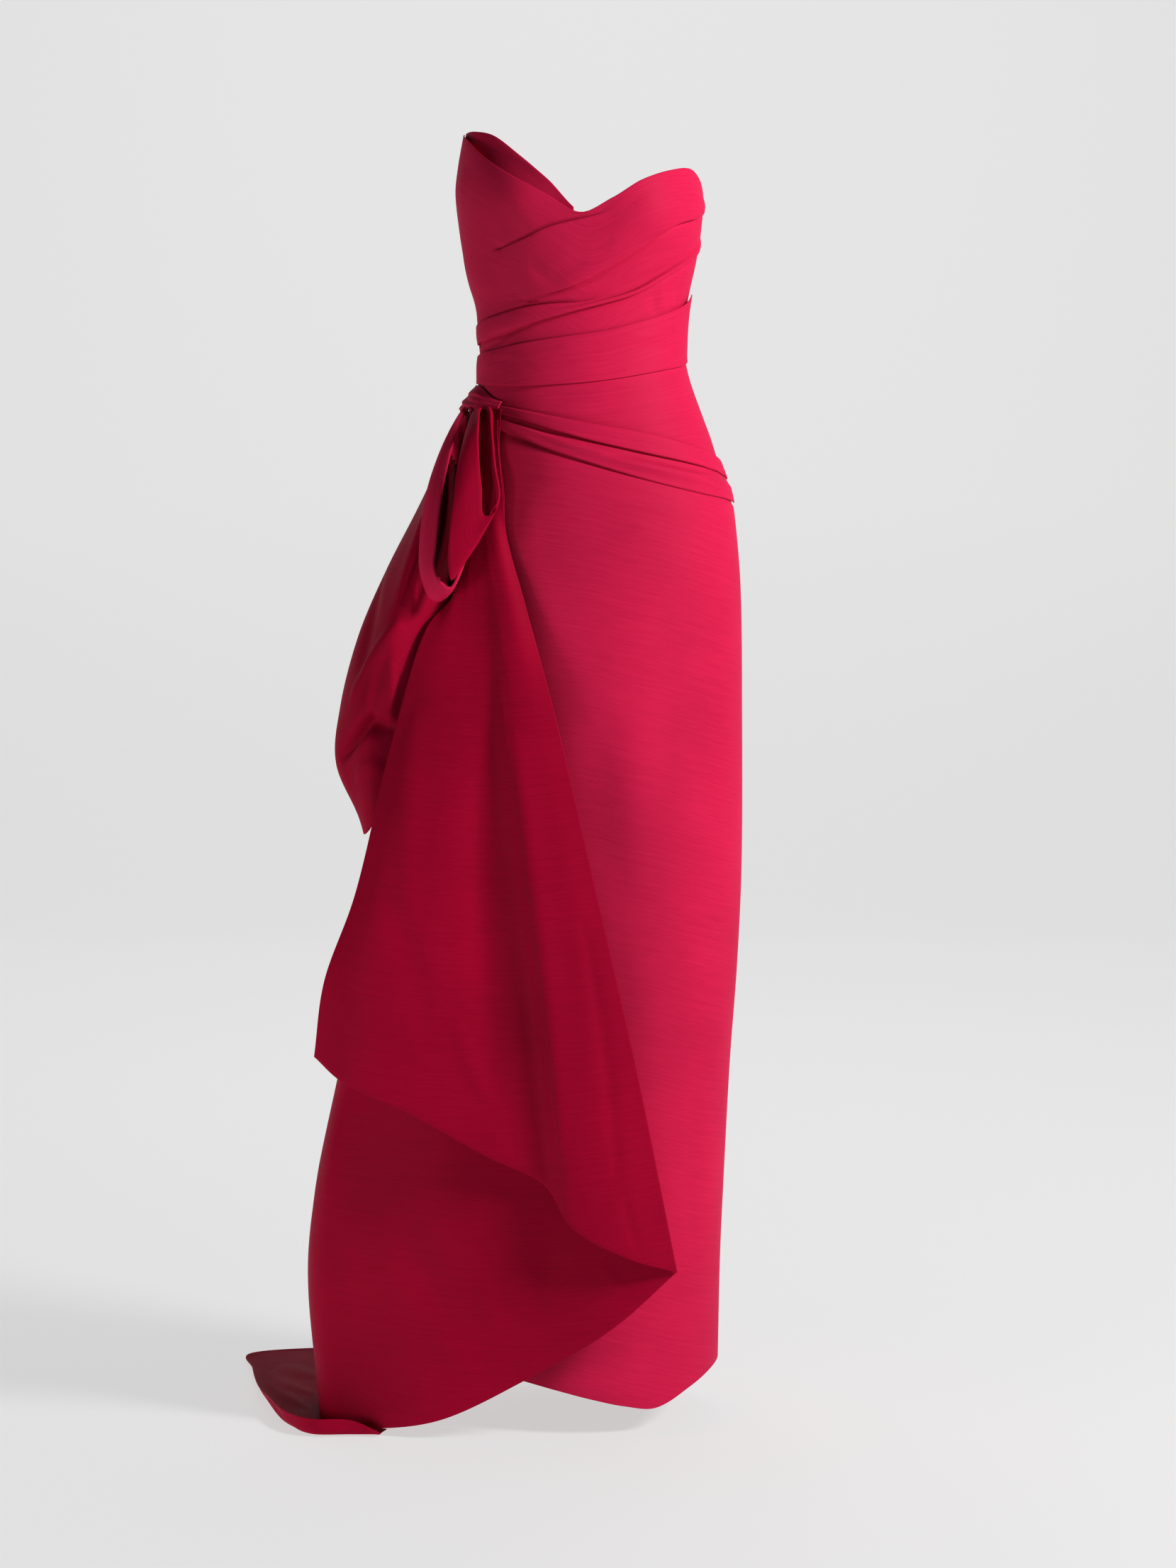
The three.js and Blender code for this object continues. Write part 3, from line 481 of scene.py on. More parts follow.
def bodiceBackRows(neck):  # from the neck line straight down to the waist
    return [{"z": lines[neck]}, {"z": 60, "cuts": 26}, {"z": -5, "cuts": 14}]


def skirtBackRows(hem):  # from the waist over the hip down to the hem
    return [
        {"z": -5.3}, {"z": -142, "cuts": 18}, {"z": -256, "cuts": 12}, {"z": -391, "cuts": 10},
        {"z": -574, "cuts": 12}, {"z": -803, "cuts": 14}, {"z": lines[hem], "cuts": 24},
    ]


bodiceBackCreases = [
    [-362, 96, -300, 88, 3, 7, -1.0], [-340, 60, -262, 52, -4, 9, 0.9], [-352, 28, -290, 34, 2, 6, -1.1],
    [-300, 140, -232, 120, 5, 11, -1.0], [-250, 84, -205, 96, 0, 8, -0.8], [-368, 132, -330, 150, 0, 6, 0.7],
    [232, 118, 300, 104, 4, 9, -1.1], [262, 62, 338, 56, -3, 7, 0.9], [290, 30, 360, 38, 2, 6, -1.2],
    [205, 140, 240, 112, 0, 8, -0.8], [330, 92, 370, 86, 0, 5, -0.9],
]
skirtBackCreases = [
    [-360, -120, -250, -148, 5, 9, -1.6], [-342, -178, -262, -168, -4, 10, 1.1], [-330, -300, -318, -640, 10, 24, -2.4],
    [-290, -420, -276, -820, -12, 30, 2.0], [-250, -520, -262, -980, 8, 22, -1.8],
    [-352, -700, -340, -1080, -6, 26, 1.6], [-226, -300, -214, -700, 6, 20, -1.4],
    [352, -132, 262, -156, -5, 8, -1.4], [300, -210, 222, -196, 3, 10, 1.0], [342, -340, 330, -720, -9, 26, -2.2],
    [296, -480, 306, -900, 12, 24, 1.8], [258, -300, 248, -610, -6, 20, -1.6], [226, -640, 238, -1040, 8, 24, 1.5],
    [356, -820, 348, -1110, 6, 18, -1.3],
]
zipGap, seamGap = 0.41, 0.05
panels = {
    "bodice_front": bodiceFront,
    "bodice_inner_cup": innerCup,
    "waistband": waistbandFront,
    "hip_yoke": hipYoke,
    "skirt_front": skirtFront,
    "bodice_back_right": backPanel(
        "right", zipGap, bodiceBackRows("backNeckRight"), creases=bodiceBackCreases, flat=(0.19, 0.27), area=0.04
    ),
    "bodice_back_left": backPanel(
        "left", zipGap, bodiceBackRows("backNeckLeft"), creases=bodiceBackCreases, flat=(0.19, 0.22), area=0.037
    ),
    "skirt_back_right": backPanel(
        "right", seamGap, skirtBackRows("backHemRight"), creases=skirtBackCreases, flat=(0.26, 1.19)
    ),
    "skirt_back_left": backPanel(
        "left", seamGap, skirtBackRows("backHemLeft"), creases=skirtBackCreases, flat=(0.26, 1.19)
    ),
    "hip_gather": {
        "stations": frontStations, "from": -104, "to": -46, "columns": 110,
        "rows": [
            {"z": [-23, -27, -43] + [-48] * 8, "lift": [2.5, 2.5, 2.8] + [3.2] * 8},
            {"z": [-34, -36, -46] + [-50] * 8, "lift": [9, 8, 5.5] + [3.8] * 8, "cuts": 10, "puff": 0.8},
            {"z": [-43, -44, -49] + [-51.4] * 8, "lift": [13.5, 11.5, 7.5] + [4.2] * 8, "cuts": 8},
            {"z": [-50, -50.5, -52] + [-52.6] * 8, "lift": [15, 13, 8.5] + [4.2] * 8, "cuts": 6},
            {"z": [-52, -52.5, -53.4] + [-53.4] * 8, "lift": [13.6, 11.6, 7.4] + [3.6] * 8, "cuts": 3},
            {"z": [-51, -51.5, -52.6] + [-52.8] * 8, "lift": [11, 9, 5.6] + [3] * 8, "cuts": 3},
        ],
        "creases": [
            [-196, -32, -120, -46, 3, 2.2, -1.8], [-205, -42, -112, -50, 3, 2, -1.6], [-180, -30, -128, -38, -2, 3, 1],
            [-200, -37, -130, -47, 3, 2, 1],
        ],
        "thickness": 1.2, "flat": (0.15, 0.036), "held": "gathered",
    },
}


# The start of a guide line: three points over the hip at its angles, each moved out by its lift. The points
# that follow it are across, depth, height.
def hipStart(top, z, lift, hip, lifts):
    return [onFigure(top, z, lift)] + [onFigure(angle, low, out) for angle, low, out in zip(hip, (-100, -148), lifts)]


cascadeLines = [
    (-45, (-40, -34.3), [
        (-86, -114, -194), (-65, -133, -271), (-31, -157, -397),
        (15, -179, -593), (61, -190, -796), (105, -193, -1015),
    ]),
    (-47.6, (-43, -38), [
        (-95, -118, -200), (-79, -140, -281), (-51, -161, -413),
        (-13, -184, -604), (22, -198, -804), (50, -206, -997),
    ]),
    (-50, (-46, -41.5), [
        (-105, -116, -207), (-93, -138, -289), (-72, -160, -422),
        (-45, -181, -609), (-23, -196, -797), (-12, -202, -964),
    ]),
    (-52.5, (-49, -44.5), [
        (-113, -112, -210), (-104, -132, -294), (-90, -150, -429),
        (-74, -168, -602), (-58, -179, -767), (-43, -184, -919),
    ]),
    (-55, (-52, -47.5), [
        (-121, -108, -213), (-120, -127, -298), (-116, -146, -433),
        (-112, -160, -586), (-110, -171, -737), (-107, -177, -888),
    ]),
    (-57.5, (-55.5, -51), [
        (-129, -104, -218), (-138, -123, -303), (-151, -141, -438),
        (-172, -154, -579), (-187, -163, -714), (-199, -169, -838),
    ]),
    (-60, (-59, -54), [
        (-137, -100, -232), (-158, -118, -303), (-191, -130, -438),
        (-228, -139, -589), (-252, -145, -707), (-269, -148, -809),
    ]),
    (-63, (-63, -57), [
        (-143, -96, -257), (-175, -110, -300), (-215, -116, -430),
        (-257, -119, -602), (-292, -118, -700), (-304, -112, -785),
    ]),
]
cascadeGuides = [np.array(hipStart(top, -66, 7.2, hip, (10, 14)) + points, float) for top, hip, points in cascadeLines]

wrapLines = [
    (-45, (-40.7, -35), [
        (-87, -112, -194), (-66, -130, -271), (-32, -154, -397),
        (14, -176, -594), (60, -187, -797), (104, -190, -1016),
    ]),
    (-51, (-46, -41), [
        (-98, -106, -200), (-86, -121, -300), (-58, -143, -430),
        (-20, -164, -618), (12, -177, -825), (33, -183, -1081),
    ]),
    (-58, (-54, -50), [
        (-118, -94, -200), (-114, -108, -300), (-105, -125, -430),
        (-90, -145, -619), (-78, -159, -828), (-64, -168, -1142),
    ]),
    (-66, (-64, -62), [
        (-138, -78, -200), (-142, -90, -300), (-148, -106, -430), (-155, -123, -620),
        (-160, -138, -830), (-163, -147, -1061), (-162, -152, -1192),
    ]),
    (-76, (-76, -75), [
        (-156, -56, -200), (-168, -66, -300), (-184, -78, -430), (-208, -92, -620),
        (-228, -104, -830), (-240, -118, -1060), (-240, -124, -1208),
    ]),
    (-86, (-86, -86), [
        (-168, -26, -200), (-182, -34, -300), (-200, -44, -430), (-232, -54, -620),
        (-270, -64, -800), (-300, -78, -1010), (-292, -88, -1211),
    ]),
    (-97, (-96, -94), [
        (-172, 0, -200), (-186, -4, -300), (-202, -4, -430), (-234, -6, -620),
        (-282, -10, -812), (-321, -16, -1030), (-307, -16, -1211),
    ]),
    (-112, (-113, -113), [
        (-168, 50, -200), (-180, 56, -300), (-194, 64, -430), (-222, 72, -620),
        (-262, 84, -812), (-298, 94, -1030), (-290, 100, -1211),
    ]),
    (-130, (-128, -124), [
        (-142, 98, -200), (-148, 112, -300), (-154, 126, -430), (-166, 144, -620),
        (-182, 160, -812), (-200, 176, -1030), (-196, 186, -1211),
    ]),
]
wrapGuides = [
    np.array(hipStart(top, -54, 4.6 if top > -90 else 3, hip, (6, 7.5)) + points, float)
    for top, hip, points in wrapLines
]


def drapeOnWrap(u):  # an edge of the pouf, lying on the wrap
    down = np.array([0.02, 0.12, 0.2, 0.27, 0.34, 0.4, 0.43])
    return loftAt(wrapGuides, np.full(7, u), down, 2.1)


drapeLines = [
    (-70, -72, 8, [
        (-145, -92, -184), (-158, -98, -264), (-177, -100, -312),
        (-187, -102, -359), (-200, -100, -400), (-224, -86, -498),
    ]),
    (-75, -66, 9, [
        (-163, -98, -136), (-183, -110, -208), (-204, -114, -280),
        (-229, -110, -359), (-244, -96, -424), (-242, -72, -528),
    ]),
    (-80, -66, 10, [
        (-176, -70, -152), (-205, -80, -224), (-234, -86, -304),
        (-259, -84, -376), (-266, -70, -441), (-251, -48, -537),
    ]),
    (-87, -70, 10, [
        (-187, -20, -160), (-225, -30, -236), (-257, -36, -311),
        (-278, -40, -392), (-283, -36, -458), (-252, -20, -528),
    ]),
    (-100, -72, 9, [
        (-184, 40, -160), (-218, 46, -236), (-244, 52, -311),
        (-262, 52, -392), (-262, 50, -458), (-236, 50, -520),
    ]),
]
drapeGuides = [drapeOnWrap(0.42)]
drapeGuides += [
    np.array([onFigure(angle, -52, 12.5), onFigure(angle, z, lift + 4)] + points, float)
    for angle, z, lift, points in drapeLines
]
drapeGuides += [drapeOnWrap(0.88)]

trainLines = [
    [(-224, -112, 0), (-228, -124, 0), (-231, -135, 0), (-232, -140, 4)],
    [(-262, -96, 0), (-262, -116, 0), (-262, -135, 1), (-263, -140, 17)],
    [(-282, -80, 0), (-294, -108, 0), (-305, -134, 1), (-307, -138, 18)],
    [(-290, -50, 0), (-314, -76, 0), (-334, -98, 1), (-338, -101, 17)],
    [(-292, 0, 0), (-330, -6, 0), (-362, -12, 1), (-369, -13, 15)],
    [(-284, 60, 0), (-340, 62, 1), (-382, 70, 1), (-388, 72, 8)],
    [(-270, 110, 0), (-345, 140, 1), (-398, 172, 1), (-404, 175, 4)],
    [(-250, 140, 0), (-340, 205, 1), (-408, 258, 1), (-414, 263, 2)],
    [(-210, 165, 0), (-250, 235, 1), (-290, 296, 0), (-294, 302, 1)],
    [(-170, 170, 0), (-180, 235, 0), (-186, 296, 0), (-187, 303, 1)],
]
trainGuides = [np.array(points, float) + [0, 0, -1213] for points in trainLines]

# Where a piece is given the darker tone, the darker copy of the cloth paints shade on it.
lofts = {
    "wrap_panel": {
        "guides": wrapGuides, "rows": 120, "columns": 150, "side": 1, "thickness": 1.2,
        "creases": [
            [323, 910, 281, 1035, 8, 26, -2.4], [390, 813, 407, 1065, 10, 24, 2], [247, 942, 239, 1060, -6, 20, 1.8],
            [126, 919, 182, 1030, 8, 16, -2.4], [94, 973, 75, 1012, 3, 9, 1.2], [476, 890, 521, 1151, 6, 20, -2.2],
            [327, 1050, 261, 1096, -4, 14, 1.6], [60, 240, 48, 520, 6, 16, -2.2], [150, 300, 190, 640, -8, 22, 1.8],
            [470, 420, 560, 1000, 14, 34, -6], [560, 520, 640, 1100, -12, 30, 5], [600, 480, 720, 1140, 10, 26, -5],
            [640, 760, 760, 1160, -8, 22, 3.5], [400, 300, 440, 700, 8, 24, -3],
        ],
        "flat": (0.75, 1.2), "area": 0.62, "held": "draped", "turned": True,
    },
    "cascade_panel": {
        "guides": cascadeGuides, "rows": 130, "columns": 120, "side": 1, "thickness": 1.2,
        "creases": [
            [101, 343, 227, 776, 8, 30, -5], [72, 300, 136, 845, -10, 28, 6.5], [25, 573, 57, 890, -6, 12, -2.2],
            [60, 260, 122, 494, -5, 12, 2], [209, 351, 289, 569, 6, 18, 1.8], [315, 544, 311, 716, -10, 22, -1.8],
            [186, 329, 223, 336, 0, 4, -1.2], [214, 350, 235, 353, 0, 4, -1], [236, 381, 257, 386, 0, 5, -0.8],
            [47, 883, 42, 958, 4, 8, -1.4], [257, 674, 238, 778, 4, 14, 1.5], [440, 699, 402, 727, 0, 14, -1.2],
        ],
        "flat": (0.55, 1.05), "area": 0.23, "held": "draped", "turned": True,
    },
    "side_drape": {
        "guides": drapeGuides, "rows": 110, "columns": 120, "side": 1, "thickness": 1.2,
        "creases": [
            [81, 132, 85, 262, -2, 8, -9], [72, 205, 74, 275, 1, 7, 4], [74, 275, 142, 374, 7, 11, 4.5],
            [175, 204, 128, 348, -6, 14, -4], [156, 433, 61, 385, -3, 9, -17], [130, 463, 72, 432, 2, 8, 3],
            [86, 310, 97, 400, 6, 12, -4.5], [84, 318, 73, 403, -4, 8, 3], [38, 31, 115, 118, -3, 5, -3],
            [212, 50, 238, 420, 12, 15, -5], [252, 70, 280, 455, -8, 12, 3.5], [292, 60, 300, 400, 6, 10, -4],
            [35, 24, 42, 203, -3, 9, -8],
        ],
        "turned": True,
        # Painted deep shade on the part behind the large loop, in rows of: left, right, height
        "hollow": [
            [-150, -142, -257], [-170, -130, -235], [-170, -123, -205],
            [-166, -118, -150], [-156, -116, -100], [-148, -114, -76],
        ],
        "hollowFront": -60,
        "flat": (0.4, 0.5), "area": 0.13, "held": "gathered",
    },
    "train": {
        "guides": trainGuides, "rows": 50, "columns": 130, "side": -1, "thickness": 1.2,
        "creases": [
            [399, 126, 215, 26, 3, 6, -2.4], [351, 110, 151, 25, -3, 5, -2.6], [423, 135, 283, 31, 2, 6, -2.2],
            [246, 89, 98, 60, 2, 4, -1.8],
        ],
        "flat": (0.6, 0.16), "area": 0.07, "held": "laid", "turned": True,
    },
}

# The two hanging loops of the bow: bands of cloth between a front and a rear curve, both closed.
loops = {
    "loop_small": {
        "front": [
            onFigure(-51, -51.5, 10), (-100, -112, -84), (-96, -136, -122), (-92, -146, -157), (-98, -150, -172),
            (-110, -150, -176), (-113, -146, -146), (-117, -136, -106), (-119, -112, -74), onFigure(-58, -50.5, 10.5),
        ],
        "rear": [
            onFigure(-53, -52, 6.5), (-104, -100, -84), (-104, -118, -121), (-106, -134, -162), (-123, -148, -208),
            (-145, -156, -247), (-149, -155, -227), (-144, -146, -160), (-137, -122, -105), onFigure(-64, -51, 7.5),
        ],
        # The darker copy of the cloth paints shade on this loop.
        "flat": (0.3, 0.06), "area": 0.014, "held": "folded", "turned": True,
    },
    "loop_large": {
        "front": [
            onFigure(-67.4, -50.1, 11.2), (-120, -97, -100), (-122, -114, -150), (-127, -128, -204),
            (-134, -137, -236), (-146, -141, -257), (-158, -142, -252), (-168, -139, -234), (-166, -134, -205),
            (-160, -122, -150), (-152, -102, -108), (-144, -80, -76), onFigure(-75, -49.2, 11),
        ],
        "rear": [
            onFigure(-69, -50.1, 8.2), (-132, -86, -100), (-138, -101, -150), (-141, -113, -204),
            (-148, -121, -240), (-157, -125, -270), (-170, -125, -268), (-182, -122, -240), (-183, -118, -205),
            (-176, -106, -150), (-163, -86, -106), (-150, -68, -76), onFigure(-78, -49.1, 8.4),
        ],
        # Its inner rows and inner side are painted near black, as deep shade.
        "flat": (0.44, 0.026), "held": "folded", "shaded": True,
    },
}
loopForm = {
    "around": 110, "across": 14, "thickness": 1.2, "full": 2.0,
    "rim": 1.9, "rimTurns": (180, 145, 110, 75, 40), "inside": (7.0, 4.5, 2.0), "shadedRows": 5,
}


# A loop: its front rim turns inwards as a half circle and runs back a little inside, and the band between
# the rims is full by a sine.
def loopGrid(loop):
    share = np.arange(loopForm["around"]) / loopForm["around"]
    front = evenPoints([np.asarray(p, float) for p in loop["front"]], share, closed=True)
    rear = evenPoints([np.asarray(p, float) for p in loop["rear"]], share, closed=True)
    across = np.linspace(0, 1, loopForm["across"])[:, None, None]
    band = mix(front[None], rear[None], across)
    out = gridNormals(band, ring=True)
    band = band + out * loopForm["full"] * np.sin(math.pi * across)
    forwards, rim = unit(front - rear), loopForm["rim"]
    rows = [front - forwards * back - out[0] * 2 * rim for back in loopForm["inside"]]
    for turn in np.radians(loopForm["rimTurns"]):
        rows.append(front + forwards * rim * math.sin(turn) - out[0] * rim * (1 - math.cos(turn)))
    return np.concatenate([np.stack(rows), band])


# Materials


# A socket that takes part in sums, so that shader maths reads as Python.
class Value:
    def __init__(self, maker, socket):
        self.maker, self.socket = maker, socket

    def combine(self, operation, other, swapped=False):
        values = (other, self) if swapped else (self, other)
        return self.maker.node("ShaderNodeMath", {"operation": operation}, dict(enumerate(values)))

    def __add__(self, other):
        return self.combine("ADD", other)

    def __radd__(self, other):
        return self.combine("ADD", other, True)

    def __mul__(self, other):
        return self.combine("MULTIPLY", other)

    def __rmul__(self, other):
        return self.combine("MULTIPLY", other, True)


class NodeMaker:
    def __init__(self, name):
        self.material = bpy.data.materials.new(name)
        self.material.use_nodes = True
        self.tree = self.material.node_tree
        self.tree.nodes.clear()

    # One node: its settings first, then its sockets, each a value or a link.
    def node(self, kind, settings=None, inputs=None, output=0):
        made = self.tree.nodes.new(kind)
        for key, value in (settings or {}).items():
            setattr(made, key, value)
        for key, value in (inputs or {}).items():
            if isinstance(value, Value):
                self.tree.links.new(value.socket, made.inputs[key])
            else:
                made.inputs[key].default_value = value
        return Value(self, made.outputs[output]) if made.outputs else None

    def colourMix(self, share, first, second):
        return self.node("ShaderNodeMix", {"data_type": "RGBA"}, {0: share, 6: first, 7: second}, output=2)

    def finish(self, shader):
        self.node("ShaderNodeOutputMaterial", None, {"Surface": shader})
        return self.material


fabricLook = {
    "dark": (0.53, 0.016, 0.080, 1),
    "base": (0.60, 0.022, 0.096, 1),
    "light": (0.67, 0.030, 0.112, 1),
    "roughness": 0.56,
    "roughRange": 0.07,
    "specular": 0.05,
    "sheen": 0.05,
    "sheenTint": (1.0, 0.26, 0.42, 1),
    "ribPitch": 0.0013,
    "ribWander": 0.0006,
    "bump": 0.22,
    "relief": 0.00045,
    # Noise scales across and down, and its detail
    "wander": (60, 60, 2.0),
    "slubs": (34, 820, 3.0),
    "longSlubs": (9, 300, 2.0),
    "threads": (1500, 160, 1.0),
    "mottle": {"scale": 5.0, "darkest": 0.9, "lightest": 1.08},
}


# Faille: ribs as a sine of the length down the cloth, slubs and threads as noise drawn out across it, and a
# broad mottle of its tone.
def clothMaterial(name, look):
    maker = NodeMaker(name)
    uv = maker.node("ShaderNodeUVMap", {"uv_map": "clothLengths"})
    parts = maker.node("ShaderNodeSeparateXYZ", None, {0: uv})
    across, down = parts, Value(maker, parts.socket.node.outputs["Y"])

    def streaks(scaleAcross, scaleDown, detail):  # noise with its own scale each way
        place = maker.node("ShaderNodeCombineXYZ", None, {0: across * scaleAcross, 1: down * scaleDown})
        return maker.node(
            "ShaderNodeTexNoise", {"noise_dimensions": "2D"},
            {"Vector": place, "Scale": 1.0, "Detail": detail, "Roughness": 0.55},
        )

    wander = streaks(*look["wander"]) * look["ribWander"]
    rib = maker.node("ShaderNodeMath", {"operation": "SINE"}, {0: (down + wander) * (2 * math.pi / look["ribPitch"])})
    rib = rib * 0.5 + 0.5
    slubs, longSlubs, threads = (streaks(*look[kind]) for kind in ("slubs", "longSlubs", "threads"))
    place, mottle = maker.node("ShaderNodeTexCoord", output=3), look["mottle"]
    broad = maker.node(
        "ShaderNodeTexNoise", None, {"Vector": place, "Scale": mottle["scale"], "Detail": 3.0, "Roughness": 0.5}
    )
    tone = maker.node("ShaderNodeMapRange", None, {0: slubs * 0.55 + longSlubs * 0.45, 1: 0.34, 2: 0.66})
    colour = maker.colourMix(tone, look["dark"], look["light"])
    colour = maker.colourMix(0.62, colour, look["base"])
    shade = maker.node(
        "ShaderNodeMapRange", None, {0: broad, 1: 0.3, 2: 0.7, 3: mottle["darkest"], 4: mottle["lightest"]}
    )
    colour = maker.node("ShaderNodeVectorMath", {"operation": "SCALE"}, {0: colour, 3: shade})
    height = rib * 0.5 + slubs * 1.3 + longSlubs * 0.8 + threads * 0.4
    bump = maker.node(
        "ShaderNodeBump", None, {"Strength": look["bump"], "Distance": look["relief"], "Height": height}
    )
    smooth, coarse = look["roughness"] - look["roughRange"], look["roughness"] + look["roughRange"]
    rough = maker.node("ShaderNodeMapRange", None, {0: slubs, 1: 0.3, 2: 0.7, 3: smooth, 4: coarse})
    shader = maker.node(
        "ShaderNodeBsdfPrincipled", None,
        {
            "Base Color": colour, "Roughness": rough, "Normal": bump, "Specular IOR Level": look["specular"],
            "Sheen Weight": look["sheen"], "Sheen Roughness": 0.4, "Sheen Tint": look["sheenTint"],
        },
    )
    return maker.finish(shader)


metalLook = {"colour": (0.30, 0.02, 0.06, 1), "worn": (0.42, 0.16, 0.17, 1), "roughness": 0.34}


# Painted metal: a fine grain in its roughness, worn through where a coarser noise is high.
def metalMaterial(name, look):
    maker = NodeMaker(name)
    place = maker.node("ShaderNodeTexCoord", output=3)
    grain = maker.node("ShaderNodeTexNoise", None, {"Vector": place, "Scale": 900.0, "Detail": 3.0})
    wear = maker.node("ShaderNodeTexNoise", None, {"Vector": place, "Scale": 160.0, "Detail": 4.0, "Roughness": 0.6})
    worn = maker.node("ShaderNodeMapRange", None, {0: wear, 1: 0.56, 2: 0.72})
    colour = maker.colourMix(worn, look["colour"], look["worn"])
    rough = look["roughness"] + grain * 0.14
    bump = maker.node("ShaderNodeBump", None, {"Strength": 0.12, "Distance": 0.0001, "Height": grain})
    shader = maker.node(
        "ShaderNodeBsdfPrincipled", None, {"Base Color": colour, "Roughness": rough, "Metallic": 0.7, "Normal": bump}
    )
    return maker.finish(shader)


# Painted shade: darker copies of the cloth. The first stands for the shade on pieces facing away from the key light;
# the second, near black, for the deep shade inside the large loop and behind it.
turnedLook = {
    **fabricLook,
    "dark": (0.35, 0.0018, 0.035, 1),
    "base": (0.40, 0.0028, 0.042, 1),
    "light": (0.45, 0.0048, 0.051, 1),
}
deepShadeLook = {
    **fabricLook,
    "dark": (0.075, 0.0002, 0.005, 1),
    "base": (0.09, 0.0003, 0.007, 1),
    "light": (0.11, 0.0007, 0.010, 1),
}
# The near-black and the darker cloth below are painted shade.
deepShadeFaille = clothMaterial("crimson_faille_painted_deep_shade", deepShadeLook)
faille = clothMaterial("crimson_faille", fabricLook)
turnedFaille = clothMaterial("crimson_faille_turned", turnedLook)
zipPaint = metalMaterial("painted_zip_metal", metalLook)
print("materials made")


# Which faces get painted deep shade: the inner side and the rim rows that turn inwards on a loop, or the faces whose
# middle lies between the left and right lines of a hollow.
def shadedFaces(piece, settings):
    count = len(piece.data.polygons)
    shaded = np.zeros(count, bool)
    if settings.get("shaded"):
        shaded[: loopForm["around"] * loopForm["shadedRows"]] = True
        shaded[count // 2 :] = True
    if "hollow" in settings:
        centres = np.empty(count * 3)
        piece.data.polygons.foreach_get("center", centres)
        x, y, z = centres.reshape(-1, 3).T / toMetres
        left, right, height = np.array(settings["hollow"]).T
        shaded = (x > np.interp(z, height, left)) & (x < np.interp(z, height, right))
        shaded &= (z > height[0]) & (z < height[-1]) & (y < settings["hollowFront"])
    return shaded


# A grid of cloth becomes a piece of the gown, in place of the plain solid of its name.
def addCloth(name, grid, settings, ring=False, side=1):
    piece = clothPiece(name + "_cloth", grid, settings.get("thickness", loopForm["thickness"]), side, ring)
    # Painted shade: the darker copy of the cloth on chosen pieces, and near black on the faces in deep shade.
    piece.data.materials.append(turnedFaille if settings.get("turned") else faille)
    shaded = shadedFaces(piece, settings)
    if shaded.any():
        piece.data.materials.append(deepShadeFaille)
        piece.data.polygons.foreach_set("material_index", shaded.astype(np.int32))
    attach(piece, gownBody)
    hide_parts(name)
    areas = np.empty(len(piece.data.polygons))
    piece.data.polygons.foreach_get("area", areas)
    print(f"{name}: {len(areas) * 2} triangles, {areas.sum() / 2:.4f} m2 of cloth")
    "area" in settings


for name, panel in panels.items():
    addCloth(name, figurePanel(panel), panel, side=-1)
for name, loft in lofts.items():
    grid = loftGrid(loft["guides"], loft["rows"], loft["columns"])
    addCloth(name, creasedGrid(grid, loft["creases"], loft["side"]), loft, side=loft["side"])
for name, loop in loops.items():
    addCloth(name, loopGrid(loop), loop, ring=True)
print("cloth made")

zipTeeth = {
    "top": 145, "bottom": -177, "pitch": 2.6, "apart": 0.75, "lift": -2.0, "size": (2.0, 1.0, 1.3), "middle": 2.0,
}


# Two columns of teeth along the chain, each a small block, with the second column half a pitch lower.
def teethPiece(teeth):
    down = np.arange(teeth["bottom"], teeth["top"], teeth["pitch"])
    heights = np.concatenate([down, down + teeth["pitch"] / 2])
    sides = np.repeat([-1.0, 1.0], len(down))
    middle = onFigure(180, heights, teeth["lift"])
    middle[..., 0] += teeth["middle"] + sides * teeth["apart"]
    corner = np.array([[x, y, z] for x in (-0.5, 0.5) for y in (-0.5, 0.5) for z in (-0.5, 0.5)])
    points = middle[:, None] + corner * np.array(teeth["size"])
    box = np.array([[0, 1, 3, 2], [4, 6, 7, 5], [0, 4, 5, 1], [2, 3, 7, 6], [0, 2, 6, 4], [1, 5, 7, 3]])
    faces = box[None] + 8 * np.arange(len(heights))[:, None, None]
    return meshPiece("zip_teeth", points.reshape(-1, 3) * toMetres, faces.reshape(-1, 4))


teeth = teethPiece(zipTeeth)
teeth.data.materials.append(zipPaint)
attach(teeth, gownBody)
print("zip teeth made")

for name in ("zip_chain", "zip_slider", "zip_pull"):
    solid = bpy.data.objects[name]
    solid.data.materials.clear()
    solid.data.materials.append(zipPaint)

# The studio, in metres: a pale floor that turns up behind as a quarter circle, and its lights
studio = {
    "floor": -1.2152, "near": -9.0, "wide": 14.0, "bend": 1.2, "bendStart": 5.0, "wallTop": 6.0,
    "pale": 0.22, "glow": 0.64, "air": 0.02, "gamma": 0.8,
}
# Each light's place, what it faces, its size and its power
studioLights = {
    "key_light": ((2.78, -1.62, 1.4), (0, 0, -0.3), 0.9, 150.0),
    "fill_light": ((-3.0, -1.4, 0.6), (0, 0, -0.5), 1.6, 0.8),
    "top_light": ((0, 0.6, 2.6), (0, 0.6, -1.2), 2.4, 8.0),
    "low_light": ((-1.7, -1.1, -1.05), (-0.3, -0.15, -1.0), 0.7, 13.0),
    "wall_light": ((0, 1.8, 2.8), (0, 6.2, 0.2), 2.4, 90.0),
}


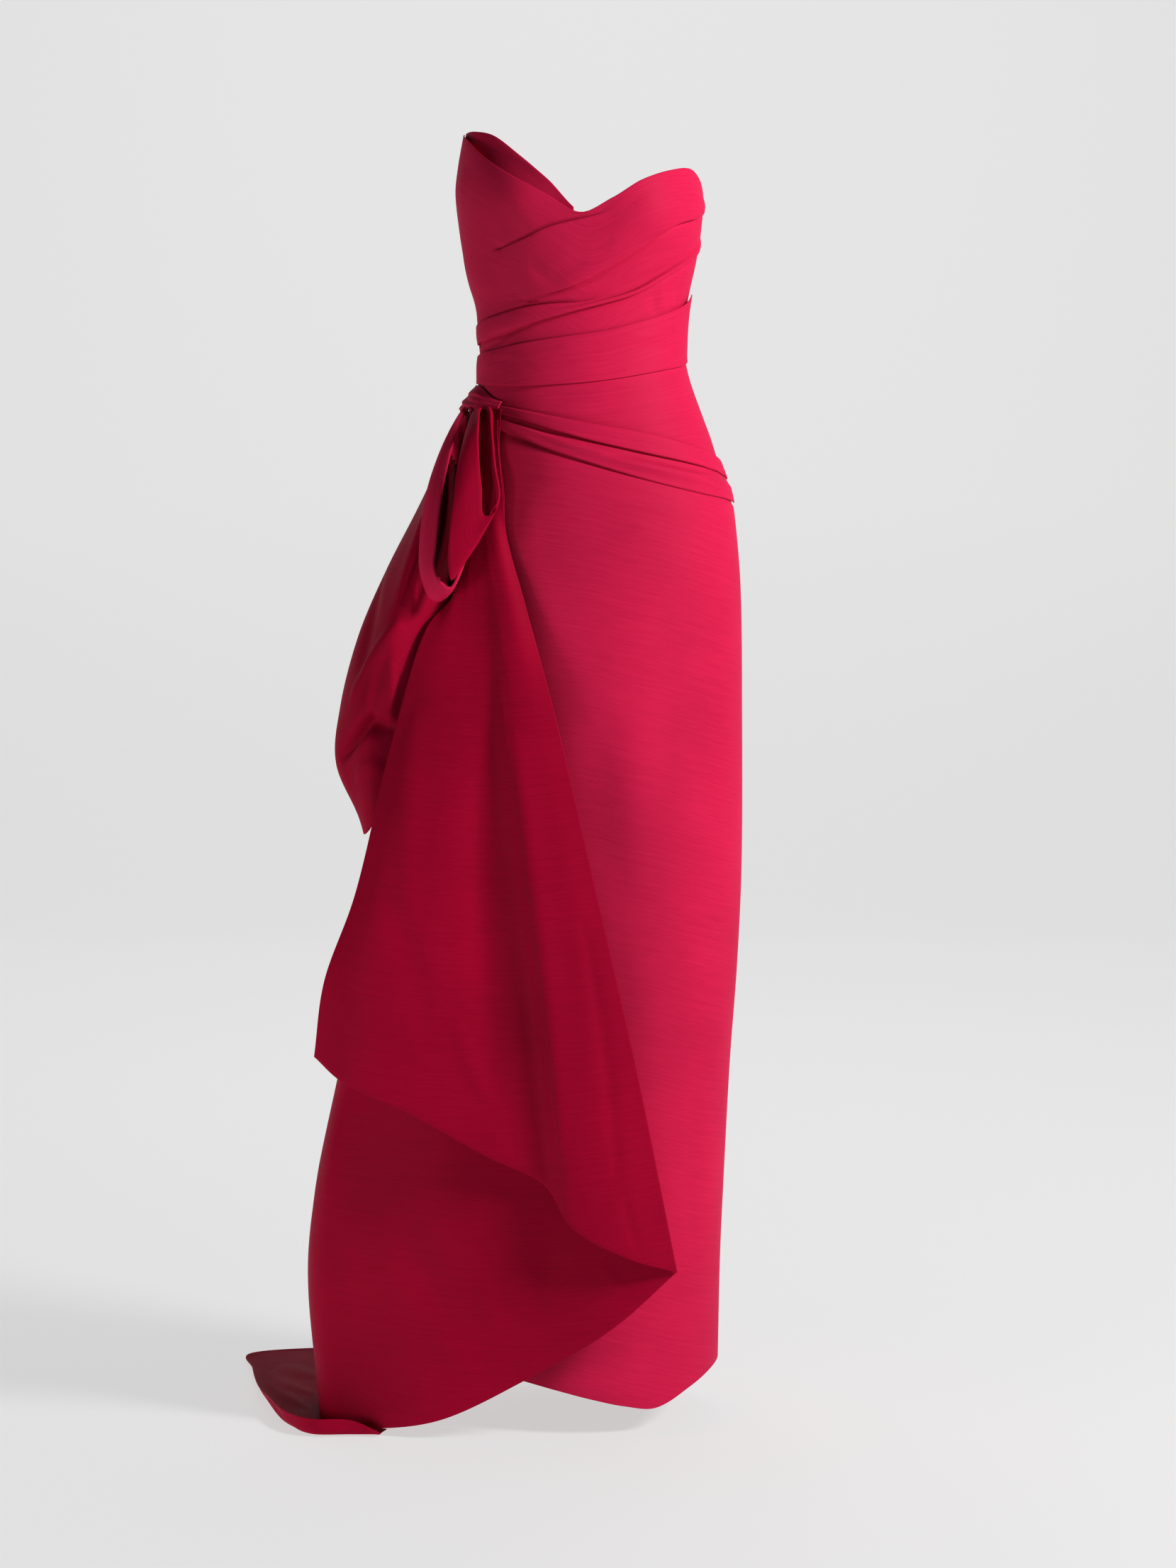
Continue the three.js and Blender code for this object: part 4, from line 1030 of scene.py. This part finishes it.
# The floor's profile runs level, then round a quarter circle, then up, and is drawn out to both sides.
def paleStage():
    maker = NodeMaker("pale_floor")
    place = maker.node("ShaderNodeTexCoord", output=3)
    grain = maker.node("ShaderNodeTexNoise", None, {"Vector": place, "Scale": 40.0, "Detail": 2.0})
    pale = studio["pale"]
    colour = maker.colourMix(grain * 0.1, (pale, pale, pale, 1), (pale * 0.96, pale * 0.96, pale * 0.96, 1))
    shader = maker.node("ShaderNodeBsdfPrincipled", None, {
        "Base Color": colour, "Roughness": 0.9, "Specular IOR Level": 0.1,
        "Emission Color": (1, 1, 1, 1), "Emission Strength": studio["glow"],
    })
    turns = np.radians(np.linspace(0, 90, 25))
    bend, start, wide = studio["bend"], studio["bendStart"], studio["wide"]
    depth = np.concatenate([[studio["near"]], start + bend * np.sin(turns), [start + bend]])
    height = np.concatenate([[0.0], bend * (1 - np.cos(turns)), [studio["wallTop"]]]) + studio["floor"]
    points = np.array([[x, y, z] for x in (-wide, wide) for y, z in zip(depth, height)])
    count = len(depth)
    faces = np.array([[i, count + i, count + i + 1, i + 1] for i in range(count - 1)])
    floor = meshPiece("pale_floor", points, faces)
    floor.data.materials.append(maker.finish(shader))


def areaLight(name, place, aim, size, power):  # a disk that faces its aim
    light = bpy.data.lights.new(name, "AREA")
    light.shape, light.size, light.energy = "DISK", size, power
    lamp = bpy.data.objects.new(name, light)
    lamp.location = place
    lamp.rotation_euler = (Vector(aim) - Vector(place)).to_track_quat("-Z", "Y").to_euler()
    bpy.context.scene.collection.objects.link(lamp)


paleStage()
for name, (place, aim, size, power) in studioLights.items():
    areaLight(name, place, aim, size, power)

scene = bpy.context.scene
air = bpy.data.worlds.new("studio_air")
air.use_nodes = True
air.node_tree.nodes["Background"].inputs["Color"].default_value = (1, 1, 1, 1)
air.node_tree.nodes["Background"].inputs["Strength"].default_value = studio["air"]
scene.world = air
scene.view_settings.view_transform = "Standard"
scene.view_settings.gamma = studio["gamma"]

# The photo's camera: its focal length and frame height in the photo's pixels, its place and its tilt
photoView = {"focal": 4878, "frameHeight": 2212, "sensor": 36, "place": (0.006, -4.0, -0.238), "tilt": 86.5}
camera = bpy.data.cameras.new("photo_camera")
camera.sensor_fit, camera.sensor_height = "VERTICAL", photoView["sensor"]
camera.lens = photoView["focal"] * photoView["sensor"] / photoView["frameHeight"]
camera.clip_end = 100
viewer = bpy.data.objects.new("photo_camera", camera)
viewer.location = photoView["place"]
viewer.rotation_euler = (math.radians(photoView["tilt"]), 0, 0)
scene.collection.objects.link(viewer)
scene.camera = viewer
